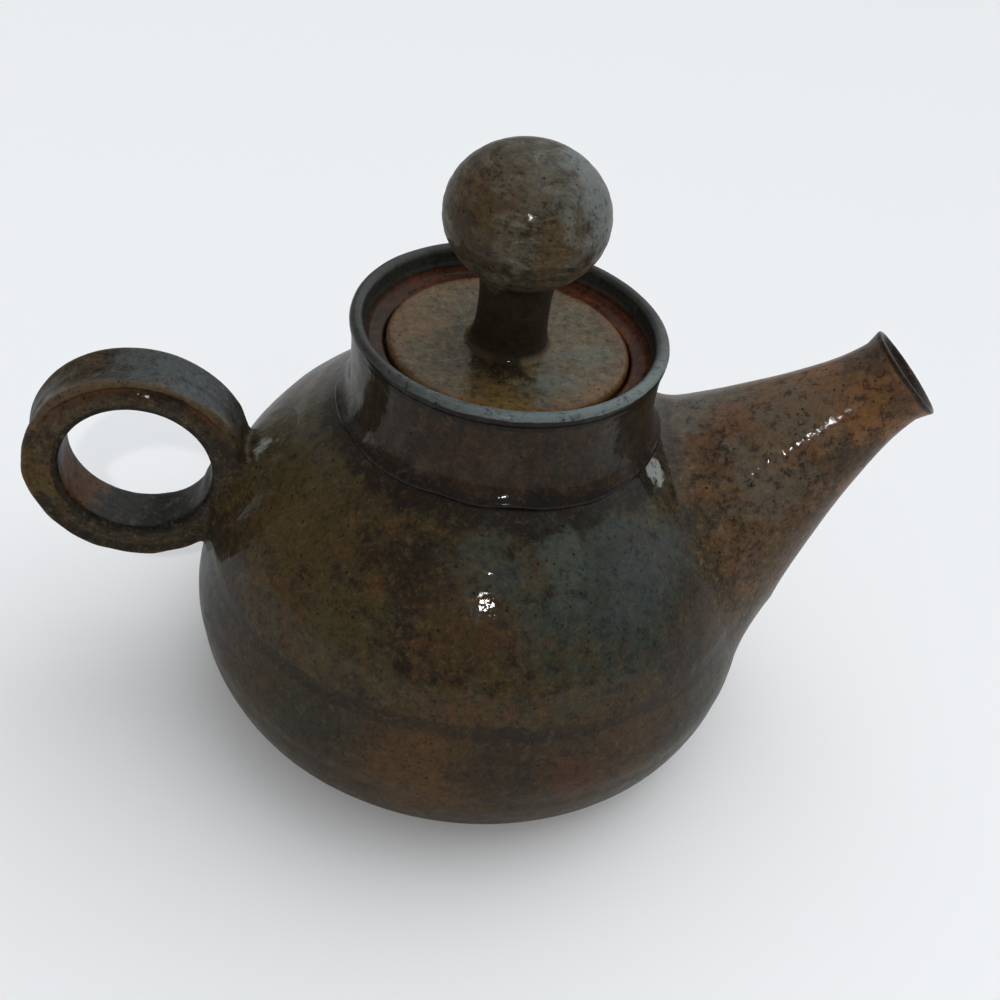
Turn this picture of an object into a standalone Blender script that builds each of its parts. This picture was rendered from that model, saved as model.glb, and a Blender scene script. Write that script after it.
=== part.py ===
"""A hand-thrown stoneware teapot with a loose lift-off lid, as separate potter's pieces.

Metres, +Z up. The origin is the middle of the foot's resting face, on the pot's own axis.
The spout points along +X and the ring handle along -X. The lid lifts along +Z.
"""

import math

import bmesh
import bpy
from mathutils import Vector

# Gaps and finish that more than one piece uses
JOINT_GAP = 0.0003  # between two pieces that are luted together
CUT_OVERRUN = 0.006  # how far a cutter runs past what it cuts
MERGE_DISTANCE = 0.000005
ROUND_STEPS = 48  # facets round the pot's axis
SLIM_STEPS = 32  # facets round the spout, the ring and the knob
BALL_STEPS = 12  # facets from the ball's top to its stem
CORNER_STEPS = 3  # facets in a rounded edge
CURVE_STEPS = 2  # facets between two points of a drawn outline
SHARP_ANGLE = math.radians(35.0)  # edges sharper than this stay crisp

# Foot: the flat disc that the pot stands on
FOOT_RADIUS = 0.0660
FOOT_HEIGHT = 0.0040
FOOT_CHAMFER = 0.0012

# Body: the hollow bowl from the foot to the neck
BELLY_RADIUS = 0.0805
BELLY_HEIGHT = 0.0315  # height of the widest ring above the table
SHOULDER_HEIGHT = 0.0930  # where the bowl ends and the neck starts
NECK_HEIGHT = 0.0270  # from the shoulder to the rim
BODY_WALL = 0.0044
FLOOR_THICKNESS = 0.0060

# Neck: the collar with its rolled rim
NECK_WAIST_RADIUS = 0.0405
NECK_FOOT_FLARE = 0.0025  # how much wider the foot is than the waist
RIM_FLARE = 0.0009  # how much wider the rim is than the waist
NECK_WALL = 0.0038

# Lid seat: the ledge inside the neck, with a rebate that the lid drops into
SEAT_DROP = 0.0116  # from the rim down to the shelf
SEAT_EDGE_WIDTH = 0.0040  # the raised edge round the lid
SEAT_SHELF_WIDTH = 0.0054  # the shelf under the lid's edge
REBATE_DEPTH = 0.0038
SEAT_THICKNESS = 0.0042

# Lid and knob
LID_THICKNESS = 0.0050
LID_EDGE_RADIUS = 0.0014
LID_SIDE_CLEARANCE = 0.0006
STEM_RADIUS = 0.0094
STEM_FOOT_FLARE = 0.0030
STEM_LENGTH = 0.0200
VENT_RADIUS = 0.0015
VENT_SIDES = 16
VENT_OFFSET = 0.0041  # from the stem's foot to the middle of the vent hole
BALL_RADIUS = 0.0209
BALL_HALF_HEIGHT = 0.0179

# Spout: a thrown cone from a root inside the bowl to a lip just under the rim's level
SPOUT_OVERHANG = 0.0287  # lip centre past the belly
SPOUT_LIP_DROP = 0.0076  # lip centre under the rim
SPOUT_ROOT_INSET = 0.0354  # root centre inside the belly
SPOUT_ROOT_RISE = 0.0136  # root centre above the belly's widest ring
SPOUT_WALL = 0.0034
SPOUT_THROAT_RADIUS = 0.0124
SPOUT_LIP_FLARE = 0.0015
SPOUT_LIP_LENGTH = 0.0060  # from the lip to the throat
SPOUT_ROOT_RADIUS = 0.0402

# Strainer: the small holes through the body wall behind the spout
STRAINER_HOLE_RADIUS = 0.0018
STRAINER_PITCH = 0.0076
STRAINER_RINGS = 2
STRAINER_DROP = 0.0270  # from the shoulder down to the middle hole
STRAINER_FIRST_RING = 6  # holes in the ring next to the middle one
STRAINER_HOLE_SIDES = 10

# Handle: the ring and the wad of clay that joins it to the body
RING_DROP = 0.0342  # from the shoulder down to where the ring meets the wall
RING_BITE = 0.0056  # how deep the ring is pressed into the wall there
RING_HOLE_RADIUS = 0.0204
RING_THICKNESS = 0.0097
RING_WIDTH = 0.0173
RING_EDGE_RADIUS = 0.0022
PAD_RISE = 0.0071  # the wad's centre above that place, along the wall
PAD_STANDOFF = 0.0006  # the wad's centre outside the wall
PAD_DEPTH = 0.0085
PAD_HALF_WIDTH = 0.0122
PAD_HALF_HEIGHT = 0.0215
PAD_LEAN_BACK = math.radians(2.2)  # how much more upright the wad is than the wall behind it
PAD_STEPS = 18  # facets from the wad's top to its bottom

# Outlines, as (share of the height, share of the radius) pairs
# Below the belly: 0 is the foot, 1 is the belly
LOWER_BODY_SHARES = (
    (0.0, 0.07),
    (0.07, 0.42),
    (0.19, 0.65),
    (0.43, 0.845),
    (0.65, 0.945),
    (1.0, 1.0),
)
# Above the belly: 0 is the belly, 1 is the neck
UPPER_BODY_SHARES = (
    (0.22, 0.93),
    (0.455, 0.81),
    (0.66, 0.59),
    (0.835, 0.30),
    (0.925, 0.135),
    (1.0, 0.0),
)
# Neck: height from its foot to its rim, and how far from the waist towards the foot or rim
NECK_FOOT_SHARES = ((0.0, 1.0), (0.05, 0.62), (0.14, 0.28), (0.30, 0.05))
NECK_RIM_SHARES = ((0.50, 0.0), (0.72, 0.12), (0.86, 0.42), (0.94, 0.85))
# Spout: distance from throat to root, and how far the radius has grown
SPOUT_SHARES = (
    (0.0, 0.0),
    (0.10, 0.05),
    (0.26, 0.20),
    (0.47, 0.45),
    (0.62, 0.66),
    (0.71, 0.81),
    (0.79, 0.92),
    (0.90, 1.0),
    (1.0, 0.96),
)
SPOUT_LIP_FLARE_SHARE = 0.25  # how much of the lip's flare is left half way to the throat
# Stem: height from the lid to the ball, and how far from the waist towards the foot or ball
STEM_FOOT_SHARES = ((0.0, 1.0), (0.06, 0.52), (0.14, 0.20), (0.25, 0.03))
STEM_TOP_SHARES = ((0.45, 0.0), (0.72, 0.10), (0.88, 0.45), (1.0, 1.0))

BODY_BOTTOM = FOOT_HEIGHT + JOINT_GAP
NECK_BOTTOM = SHOULDER_HEIGHT + JOINT_GAP
NECK_FOOT_RADIUS = NECK_WAIST_RADIUS + NECK_FOOT_FLARE
NECK_BORE_RADIUS = NECK_WAIST_RADIUS - NECK_WALL
RIM_RADIUS = NECK_WAIST_RADIUS + RIM_FLARE
RIM_HEIGHT = SHOULDER_HEIGHT + NECK_HEIGHT
SEAT_SHELF_HEIGHT = RIM_HEIGHT - SEAT_DROP
SEAT_RADIUS = NECK_BORE_RADIUS - JOINT_GAP
REBATE_RADIUS = SEAT_RADIUS - SEAT_EDGE_WIDTH
SEAT_HOLE_RADIUS = REBATE_RADIUS - SEAT_SHELF_WIDTH
LID_RADIUS = REBATE_RADIUS - LID_SIDE_CLEARANCE
LID_BOTTOM = SEAT_SHELF_HEIGHT + JOINT_GAP
LID_TOP = LID_BOTTOM + LID_THICKNESS
STEM_BOTTOM = LID_TOP + JOINT_GAP
STEM_TOP = STEM_BOTTOM + STEM_LENGTH
BALL_BOTTOM = STEM_TOP + JOINT_GAP
STEM_FOOT_RADIUS = STEM_RADIUS + STEM_FOOT_FLARE
VENT_DISTANCE = STEM_FOOT_RADIUS + VENT_OFFSET
SPOUT_LIP = Vector((BELLY_RADIUS + SPOUT_OVERHANG, RIM_HEIGHT - SPOUT_LIP_DROP))
SPOUT_ROOT = Vector((BELLY_RADIUS - SPOUT_ROOT_INSET, BELLY_HEIGHT + SPOUT_ROOT_RISE))
SPOUT_AXIS = SPOUT_LIP - SPOUT_ROOT
SPOUT_LIP_RADIUS = SPOUT_THROAT_RADIUS + SPOUT_LIP_FLARE
STRAINER_HEIGHT = SHOULDER_HEIGHT - STRAINER_DROP
CONTACT_HEIGHT = SHOULDER_HEIGHT - RING_DROP
RING_OUTER_RADIUS = RING_HOLE_RADIUS + RING_THICKNESS


def clear_scene():
    for obj in list(bpy.data.objects):
        bpy.data.objects.remove(obj, do_unlink=True)
    for collection in list(bpy.data.collections):
        bpy.data.collections.remove(collection)


def make_collection(name):
    collection = bpy.data.collections.new(name)
    bpy.context.scene.collection.children.link(collection)
    return collection


def glaze(name, colour, roughness):
    """A fired glaze: colour is linear, and clay is never metallic."""
    material = bpy.data.materials.new(name)
    material.use_nodes = True
    shader = material.node_tree.nodes["Principled BSDF"]
    shader.inputs["Base Color"].default_value = (*colour, 1.0)
    shader.inputs["Roughness"].default_value = roughness
    shader.inputs["Metallic"].default_value = 0.0
    material.diffuse_color = (*colour, 1.0)
    return material


def smooth_outline(points):
    """A Catmull-Rom curve through the points, with CURVE_STEPS facets between neighbours."""
    padded = [points[0], *points, points[-1]]
    drawn = []
    for before, start, end, after in zip(padded, padded[1:], padded[2:], padded[3:]):
        for step in range(CURVE_STEPS):
            t = step / CURVE_STEPS
            drawn.append(
                tuple(
                    0.5
                    * (
                        2 * b
                        + (c - a) * t
                        + (2 * a - 5 * b + 4 * c - d) * t**2
                        + (3 * b - a - 3 * c + d) * t**3
                    )
                    for a, b, c, d in zip(before, start, end, after)
                )
            )
    return [*drawn, tuple(points[-1])]


def offset_outline(points, distance):
    """The (radius, height) outline moved to its own left: inwards where it runs upwards."""
    moved = []
    for index, (radius, height) in enumerate(points):
        ahead = Vector(points[min(index + 1, len(points) - 1)])
        behind = Vector(points[max(index - 1, 0)])
        along = (ahead - behind).normalized()
        moved.append((radius - along.y * distance, height + along.x * distance))
    return moved


def corner(centre, radius, start, end):
    """Points of a rounded edge about centre, from the start angle to the end angle in degrees."""
    angles = [start + (end - start) * step / CORNER_STEPS for step in range(CORNER_STEPS + 1)]
    return [
        (
            centre[0] + radius * math.cos(math.radians(angle)),
            centre[1] + radius * math.sin(math.radians(angle)),
        )
        for angle in angles
    ]


def turned(name, outline, collection, material=None, closed=False, steps=ROUND_STEPS):
    """A piece turned on its local Z. The (radius, height) outline runs down its outer side."""
    mesh = bpy.data.meshes.new(name)
    edges = [(index, index + 1) for index in range(len(outline) - 1)]
    if closed:
        edges.append((len(outline) - 1, 0))
    mesh.from_pydata([(radius, 0.0, height) for radius, height in outline], edges, [])
    obj = bpy.data.objects.new(name, mesh)
    collection.objects.link(obj)
    if material:
        mesh.materials.append(material)
    screw = obj.modifiers.new("Turn", "SCREW")
    screw.axis = "Z"
    screw.steps = steps
    screw.render_steps = steps
    screw.use_merge_vertices = True
    screw.merge_threshold = MERGE_DISTANCE
    screw.use_smooth_shade = True
    return obj


def as_cutter(obj):
    obj.hide_render = True
    obj.display_type = "WIRE"
    return obj


def cut(obj, cutter):
    modifier = obj.modifiers.new("Cut by " + cutter.name, "BOOLEAN")
    modifier.operation = "DIFFERENCE"
    modifier.solver = "EXACT"
    modifier.object = cutter


def mesh_object(name, builder, collection, material=None):
    """A new object from a bmesh, shaded smooth except at sharp corners."""
    mesh = bpy.data.meshes.new(name)
    builder.to_mesh(mesh)
    builder.free()
    mesh.shade_smooth()
    mesh.set_sharp_from_angle(angle=SHARP_ANGLE)
    obj = bpy.data.objects.new(name, mesh)
    collection.objects.link(obj)
    if material:
        mesh.materials.append(material)
    return obj


def body_outline():
    """The bowl's outer wall as (radius, height), from the foot up to the neck."""
    lower_rise = BELLY_HEIGHT - BODY_BOTTOM
    upper_rise = SHOULDER_HEIGHT - BELLY_HEIGHT
    lower = [
        (FOOT_RADIUS + (BELLY_RADIUS - FOOT_RADIUS) * out, BODY_BOTTOM + lower_rise * up)
        for up, out in LOWER_BODY_SHARES
    ]
    upper = [
        (NECK_FOOT_RADIUS + (BELLY_RADIUS - NECK_FOOT_RADIUS) * out, BELLY_HEIGHT + upper_rise * up)
        for up, out in UPPER_BODY_SHARES
    ]
    return smooth_outline(lower + upper)


def make_foot(collection):
    outline = [
        (0.0, FOOT_HEIGHT),
        (FOOT_RADIUS, FOOT_HEIGHT),
        (FOOT_RADIUS, FOOT_CHAMFER),
        (FOOT_RADIUS - FOOT_CHAMFER, 0.0),
        (0.0, 0.0),
    ]
    return turned("foot", outline, collection, glaze("bare_clay", (0.16, 0.075, 0.04), 0.8))


def make_body_bowl(collection, cutters):
    outer = body_outline()
    floor_height = BODY_BOTTOM + FLOOR_THICKNESS
    inner = [point for point in offset_outline(outer, BODY_WALL) if point[1] > floor_height]
    inner = [point for point in inner if point[1] < SHOULDER_HEIGHT]
    mouth_radius = NECK_FOOT_RADIUS - BODY_WALL
    outline = [(0.0, floor_height), (inner[0][0] - BODY_WALL, floor_height)]
    outline += inner
    outline += [(mouth_radius, SHOULDER_HEIGHT)]
    outline += list(reversed(outer))
    outline += [(0.0, BODY_BOTTOM)]
    bowl = turned("body_bowl", outline, collection, glaze("body_glaze", (0.09, 0.055, 0.03), 0.3))
    cut(bowl, strainer_cutter(cutters))
    return bowl


def strainer_cutter(cutters):
    """One mesh of small round cutters through the wall: a middle hole and rings round it."""
    builder = bmesh.new()
    depth = BODY_WALL + CUT_OVERRUN + CUT_OVERRUN
    places = [Vector((0.0, 0.0))]
    for ring in range(1, STRAINER_RINGS + 1):
        count = STRAINER_FIRST_RING * ring
        for index in range(count):
            angle = math.tau * index / count
            places.append(ring * STRAINER_PITCH * Vector((math.cos(angle), math.sin(angle))))
    for across, along in places:
        made = bmesh.ops.create_cone(
            builder,
            cap_ends=True,
            segments=STRAINER_HOLE_SIDES,
            radius1=STRAINER_HOLE_RADIUS,
            radius2=STRAINER_HOLE_RADIUS,
            depth=depth,
        )
        bmesh.ops.translate(builder, verts=made["verts"], vec=(across, along, 0.0))
    cutter = mesh_object("strainer_holes", builder, cutters)
    cutter.location = (radius_at(STRAINER_HEIGHT) - BODY_WALL / 2, 0.0, STRAINER_HEIGHT)
    cutter.rotation_euler = (0.0, math.pi / 2 - wall_lean(STRAINER_HEIGHT), 0.0)
    return as_cutter(cutter)


def radius_at(height):
    """The bowl's outer radius at a height, read from its outline."""
    outline = body_outline()
    for (r0, z0), (r1, z1) in zip(outline, outline[1:]):
        if z0 <= height <= z1:
            return r0 + (r1 - r0) * (height - z0) / (z1 - z0)
    return BELLY_RADIUS


def wall_lean(height):
    """How far the bowl's wall leans in from upright at a height, in radians."""
    span = BODY_WALL
    return math.atan2(radius_at(height - span) - radius_at(height + span), 2 * span)


def beside_wall(height, out, up):
    """A place on the handle's side: out square to the wall and up along it, from a height."""
    lean = wall_lean(height)
    reach = radius_at(height) + out * math.cos(lean) - up * math.sin(lean)
    return (-reach, 0.0, height + out * math.sin(lean) + up * math.cos(lean))


def body_clearance(cutters):
    """The bowl and neck as one solid, grown by the joint gap: it trims what is luted to them."""
    outline = [
        *neck_outline(),
        *reversed(body_outline()),
    ]
    grown = offset_outline(outline, JOINT_GAP)
    top = (0.0, grown[0][1])
    bottom = (0.0, grown[-1][1])
    return as_cutter(turned("body_clearance", [top, *grown, bottom], cutters))


def neck_outline():
    """The collar's outer wall as (radius, height), from under the rim down to its foot."""
    rise = RIM_HEIGHT - NECK_BOTTOM
    foot = [
        (NECK_WAIST_RADIUS + (NECK_FOOT_RADIUS - NECK_WAIST_RADIUS) * out, NECK_BOTTOM + rise * up)
        for up, out in NECK_FOOT_SHARES
    ]
    rim = [
        (NECK_WAIST_RADIUS + (RIM_RADIUS - NECK_WAIST_RADIUS) * out, NECK_BOTTOM + rise * up)
        for up, out in NECK_RIM_SHARES
    ]
    return list(reversed(smooth_outline(foot + rim)))


def make_neck_collar(collection):
    roll = NECK_WALL / 2
    outer = neck_outline()
    lip = corner((RIM_RADIUS - roll, RIM_HEIGHT - roll), roll, 180, 0)
    bore_top = RIM_HEIGHT - (RIM_HEIGHT - SEAT_SHELF_HEIGHT) / 2
    outline = [
        *outer,
        (NECK_BORE_RADIUS, NECK_BOTTOM),
        (NECK_BORE_RADIUS, bore_top),
        *lip,
    ]
    return turned(
        "neck_collar", outline, collection, glaze("neck_glaze", (0.075, 0.045, 0.035), 0.25), closed=True
    )


def make_lid_seat(collection):
    shelf = SEAT_SHELF_HEIGHT
    ledge = shelf + REBATE_DEPTH
    outline = [
        (SEAT_RADIUS, ledge),
        (SEAT_RADIUS, shelf - SEAT_THICKNESS),
        (REBATE_RADIUS, shelf - SEAT_THICKNESS),
        (SEAT_HOLE_RADIUS, shelf - SEAT_THICKNESS / 2),
        (SEAT_HOLE_RADIUS, shelf),
        (REBATE_RADIUS, shelf),
        (REBATE_RADIUS, ledge),
    ]
    return turned(
        "lid_seat", outline, collection, glaze("seat_glaze", (0.2, 0.07, 0.025), 0.35), closed=True
    )


def make_lid_plate(collection, cutters):
    edge = LID_EDGE_RADIUS
    outline = [
        (0.0, LID_TOP),
        *corner((LID_RADIUS - edge, LID_TOP - edge), edge, 90, 0),
        *corner((LID_RADIUS - edge, LID_BOTTOM + edge), edge, 0, -90),
        (0.0, LID_BOTTOM),
    ]
    plate = turned("lid_plate", outline, collection, glaze("lid_glaze", (0.2, 0.13, 0.065), 0.35))
    builder = bmesh.new()
    bmesh.ops.create_cone(
        builder,
        cap_ends=True,
        segments=VENT_SIDES,
        radius1=VENT_RADIUS,
        radius2=VENT_RADIUS,
        depth=LID_THICKNESS + CUT_OVERRUN,
    )
    vent = mesh_object("vent_hole", builder, cutters)
    vent.location = (0.0, VENT_DISTANCE, (LID_TOP + LID_BOTTOM) / 2)
    cut(plate, as_cutter(vent))
    return plate


def ball_bottom_radius():
    """The ball's radius where it is cut flat to sit on the stem."""
    drop = (ball_centre_height() - BALL_BOTTOM) / BALL_HALF_HEIGHT
    return BALL_RADIUS * math.sqrt(1.0 - drop * drop)


def ball_centre_height():
    """The ball sits so low on the stem that its cut face is as wide as the stem's waist."""
    share = STEM_RADIUS / BALL_RADIUS
    return BALL_BOTTOM + BALL_HALF_HEIGHT * math.sqrt(1.0 - share * share)


def make_knob_stem(collection):
    rise = STEM_TOP - STEM_BOTTOM
    top_radius = ball_bottom_radius() + JOINT_GAP
    foot = [
        (STEM_RADIUS + (STEM_FOOT_RADIUS - STEM_RADIUS) * out, STEM_BOTTOM + rise * up)
        for up, out in STEM_FOOT_SHARES
    ]
    top = [
        (STEM_RADIUS + (top_radius - STEM_RADIUS) * out, STEM_BOTTOM + rise * up)
        for up, out in STEM_TOP_SHARES
    ]
    outline = [(0.0, STEM_TOP), *reversed(smooth_outline(foot + top)), (0.0, STEM_BOTTOM)]
    finish = glaze("stem_glaze", (0.05, 0.032, 0.022), 0.3)
    return turned("knob_stem", outline, collection, finish, steps=SLIM_STEPS)


def make_knob_ball(collection):
    centre = ball_centre_height()
    low = -math.acos(ball_bottom_radius() / BALL_RADIUS)
    count = BALL_STEPS
    outline = []
    for step in range(count + 1):
        angle = math.pi / 2 + (low - math.pi / 2) * step / count
        radius = 0.0 if step == 0 else BALL_RADIUS * math.cos(angle)
        outline.append((radius, centre + BALL_HALF_HEIGHT * math.sin(angle)))
    outline.append((0.0, outline[-1][1]))
    finish = glaze("ball_glaze", (0.13, 0.1, 0.075), 0.35)
    return turned("knob_ball", outline, collection, finish, steps=SLIM_STEPS)


def spout_outline():
    """The spout's outer wall as (radius, distance below the lip), from the lip down to the root."""
    run = SPOUT_AXIS.length - SPOUT_LIP_LENGTH
    grow = SPOUT_ROOT_RADIUS - SPOUT_THROAT_RADIUS
    cone = [
        (SPOUT_THROAT_RADIUS + grow * out, -SPOUT_LIP_LENGTH - run * down)
        for down, out in SPOUT_SHARES
    ]
    lip = [
        (SPOUT_LIP_RADIUS, 0.0),
        (SPOUT_THROAT_RADIUS + SPOUT_LIP_FLARE * SPOUT_LIP_FLARE_SHARE, -SPOUT_LIP_LENGTH / 2),
    ]
    return smooth_outline(lip + cone)


def make_spout(collection, clearance):
    outer = spout_outline()
    inner = [(radius - SPOUT_WALL, height) for radius, height in outer]
    outline = [*outer, *reversed(inner)]
    finish = glaze("spout_glaze", (0.12, 0.06, 0.03), 0.25)
    spout = turned("spout", outline, collection, finish, closed=True, steps=SLIM_STEPS)
    spout.location = (SPOUT_LIP.x, 0.0, SPOUT_LIP.y)
    spout.rotation_euler = (0.0, math.atan2(SPOUT_AXIS.x, SPOUT_AXIS.y), 0.0)
    cut(spout, clearance)
    return spout


def ring_outline(grow):
    """The ring's section, (radius, place across its width), running down its outer side."""
    half = RING_WIDTH / 2 + grow
    outer = RING_OUTER_RADIUS + grow
    hole = RING_HOLE_RADIUS - grow
    edge = RING_EDGE_RADIUS
    return [
        *corner((outer - edge, half - edge), edge, 90, 0),
        *corner((outer - edge, edge - half), edge, 0, -90),
        *corner((hole + edge, edge - half), edge, -90, -180),
        *corner((hole + edge, half - edge), edge, 180, 90),
    ]


def place_ring(ring):
    """The ring stands on edge in the pot's plane, pressed square into the bowl's wall."""
    ring.location = beside_wall(CONTACT_HEIGHT, RING_OUTER_RADIUS - RING_BITE, 0.0)
    ring.rotation_euler = (math.pi / 2, 0.0, 0.0)
    return ring


def make_handle_ring(collection, clearance):
    finish = glaze("ring_glaze", (0.09, 0.07, 0.05), 0.35)
    ring = turned("handle_ring", ring_outline(0.0), collection, finish, closed=True, steps=SLIM_STEPS)
    place_ring(ring)
    cut(ring, clearance)
    return ring


def make_handle_pad(collection, cutters, clearance):
    """A wad of clay between the bowl and the ring, wiped clear of the finger hole."""
    builder = bmesh.new()
    bmesh.ops.create_uvsphere(builder, u_segments=SLIM_STEPS, v_segments=PAD_STEPS, radius=1.0)
    bmesh.ops.scale(builder, verts=builder.verts, vec=(PAD_DEPTH, PAD_HALF_WIDTH, PAD_HALF_HEIGHT))
    pad = mesh_object("handle_pad", builder, collection, glaze("pad_glaze", (0.08, 0.065, 0.045), 0.3))
    pad.location = beside_wall(CONTACT_HEIGHT, PAD_STANDOFF, PAD_RISE)
    pad.rotation_euler = (0.0, wall_lean(CONTACT_HEIGHT) - PAD_LEAN_BACK, 0.0)
    cut(pad, clearance)
    section = ring_outline(JOINT_GAP)
    rim = section[: len(section) // 2]
    disc = [(0.0, rim[0][1]), *rim, (0.0, rim[-1][1])]
    clean_hole = turned("ring_and_finger_hole", disc, cutters, steps=SLIM_STEPS)
    cut(pad, as_cutter(place_ring(clean_hole)))
    return pad


def main():
    clear_scene()
    collection = make_collection("pottery_teapot")
    cutters = make_collection("cutters")
    clearance = body_clearance(cutters)
    pot = [
        make_foot(collection),
        make_body_bowl(collection, cutters),
        make_neck_collar(collection),
        make_lid_seat(collection),
        make_spout(collection, clearance),
        make_handle_ring(collection, clearance),
        make_handle_pad(collection, cutters, clearance),
    ]
    lid = [
        make_lid_plate(collection, cutters),
        make_knob_stem(collection),
        make_knob_ball(collection),
    ]
    lift_axis = bpy.data.objects.new("lid_lift_axis", None)
    lift_axis.location = (0.0, 0.0, SEAT_SHELF_HEIGHT)
    collection.objects.link(lift_axis)
    bpy.context.view_layer.update()
    for piece in lid:
        piece.parent = lift_axis
        piece.matrix_parent_inverse = lift_axis.matrix_world.inverted()
    print(len(pot), "pieces in the pot,", len(lid), "in the lid")


main()
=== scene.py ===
# %% [markdown]
# # A hand-thrown stoneware teapot
#
# The construction model already says how big every piece is and where it sits. This lesson gives
# those pieces their thrown, luted and glazed surfaces. Each piece is modelled in place around the
# fixed frame, so nothing has to be fitted afterwards.

# %% Load the fixed frame
import math

import bpy
from mathutils import Matrix, Vector


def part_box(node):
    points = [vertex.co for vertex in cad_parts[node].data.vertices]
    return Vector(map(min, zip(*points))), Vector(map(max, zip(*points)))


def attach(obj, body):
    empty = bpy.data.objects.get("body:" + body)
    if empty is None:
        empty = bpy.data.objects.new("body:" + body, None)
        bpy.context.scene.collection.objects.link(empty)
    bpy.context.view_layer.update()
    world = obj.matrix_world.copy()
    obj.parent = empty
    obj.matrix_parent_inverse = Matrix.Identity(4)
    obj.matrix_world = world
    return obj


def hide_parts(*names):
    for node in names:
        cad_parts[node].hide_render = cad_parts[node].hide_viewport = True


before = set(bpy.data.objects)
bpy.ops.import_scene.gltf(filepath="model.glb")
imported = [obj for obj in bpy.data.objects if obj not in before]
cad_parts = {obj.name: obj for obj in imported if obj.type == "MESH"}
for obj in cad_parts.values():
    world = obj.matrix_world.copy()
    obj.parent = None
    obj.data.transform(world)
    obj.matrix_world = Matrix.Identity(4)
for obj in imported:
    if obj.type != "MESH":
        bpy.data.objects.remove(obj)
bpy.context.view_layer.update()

MM = 0.001

# %% [markdown]
# ## Measures
#
# The sizes come from the frame's boxes, so the looks follow the construction if it is resized.
# Only what a box can't tell, such as the spout's slope, is written here as a real size.

# %% Measures from the frame
bowl_low, bowl_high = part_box("body_bowl")
seat_low, seat_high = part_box("lid_seat")
plate_low, plate_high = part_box("lid_plate")
ring_low, ring_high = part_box("handle_ring")
neck_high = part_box("neck_collar")[1]
ball_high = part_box("knob_ball")[1]
foot_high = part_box("foot")[1]

WOBBLE = 0.7 * MM  # how far a hand-thrown wall wanders, in and out together
SKIN = 0.3 * MM  # kept free inside the frame's box for that wobble
BELLY = bowl_high.x - SKIN
BELLY_HEIGHT = 31.5 * MM
BODY_BASE = bowl_low.z
SHOULDER = bowl_high.z
BASE_RADIUS = 66.0 * MM
BODY_WALL = 4.4 * MM
FLOOR = BODY_BASE + 6.0 * MM
NECK_FOOT = neck_high.x
RIM = neck_high.z
RIM_RADIUS = 41.4 * MM
WAIST = 40.5 * MM
BORE = WAIST - 3.8 * MM
LEDGE = seat_high.z
SHELF = plate_low.z - 0.3 * MM
REBATE = plate_high.x + 0.6 * MM
HATCH = REBATE - 5.4 * MM
RING_RADIUS = (ring_high.z - ring_low.z) / 2
RING_CENTRE = Vector((ring_low.x + RING_RADIUS, 0.0, (ring_high.z + ring_low.z) / 2))
RING_HALF_WIDTH = ring_high.y
print("belly", round(BELLY / MM, 1), "rim height", round(RIM / MM, 1), "ring", round(RING_RADIUS / MM, 1))

# %% [markdown]
# ## Helpers
#
# An operator acts on everything that is selected, so each helper deselects first. A turned piece
# starts as one point that is extruded along its section and then spun about the wheel's axis,
# as a potter's rib would shape it.

# %% Helpers for modelling by hand
DOUBLES = 0.004 * MM  # points closer than this are one point
SMOOTH_BELOW = math.radians(40)  # edges flatter than this are shaded smooth


def alone(piece):
    """Selects one piece and nothing else."""
    bpy.ops.object.select_all(action="DESELECT")
    piece.select_set(True)
    bpy.context.view_layer.objects.active = piece


def edit(piece):
    """Opens one piece in edit mode with everything in it selected."""
    alone(piece)
    bpy.ops.object.mode_set(mode="EDIT")
    bpy.ops.mesh.select_mode(type="VERT")
    bpy.ops.mesh.select_all(action="SELECT")


def inside_out(piece):
    """True if the faces look inwards, which shows as a volume below nothing."""
    return sum(face.area * face.normal.dot(face.center) for face in piece.data.polygons) < 0


def close_edit(piece):
    """Merges doubles, turns the faces outwards, leaves edit mode and shades the piece smooth."""
    bpy.ops.mesh.select_all(action="SELECT")
    bpy.ops.mesh.remove_doubles(threshold=DOUBLES)
    bpy.ops.mesh.normals_make_consistent(inside=False)
    bpy.ops.object.mode_set(mode="OBJECT")
    if inside_out(piece):
        piece.data.flip_normals()
    bpy.ops.object.shade_smooth_by_angle(angle=SMOOTH_BELOW)
    return piece


def added(name):
    """Names the primitive that was just added and puts its place into its mesh."""
    piece = bpy.context.object
    piece.name = piece.data.name = name
    bpy.ops.object.transform_apply(location=True, rotation=True, scale=True)
    return piece


def apply(piece, kind, **settings):
    """Adds a modifier with its settings and applies it."""
    alone(piece)
    modifier = piece.modifiers.new(kind.title(), kind)
    for key, value in settings.items():
        setattr(modifier, key, value)
    bpy.ops.object.modifier_apply(modifier=modifier.name)


def combine(piece, tool, operation):
    """Joins or cuts a piece with a tool by a Boolean, and takes the tool away."""
    apply(piece, "BOOLEAN", object=tool, operation=operation, solver="EXACT")
    bpy.data.objects.remove(tool)


def smooth_line(points, steps):
    """A Catmull-Rom line through the points, with that many steps between neighbours."""
    padded = [points[0], *points, points[-1]]
    line = []
    for before, start, end, after in zip(padded, padded[1:], padded[2:], padded[3:]):
        for step in range(steps):
            t = step / steps
            place = []
            for a, b, c, d in zip(before, start, end, after):
                bend, twist = 2 * a - 5 * b + 4 * c - d, 3 * b - a - 3 * c + d
                place.append(0.5 * (2 * b + (c - a) * t + bend * t**2 + twist * t**3))
            line.append(tuple(place))
    return [*line, tuple(points[-1])]


def offsets(radius, height, *steps):
    """Points of a section, given in millimetres from a radius and a height."""
    return [(radius + out * MM, height + up * MM) for out, up in steps]


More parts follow.
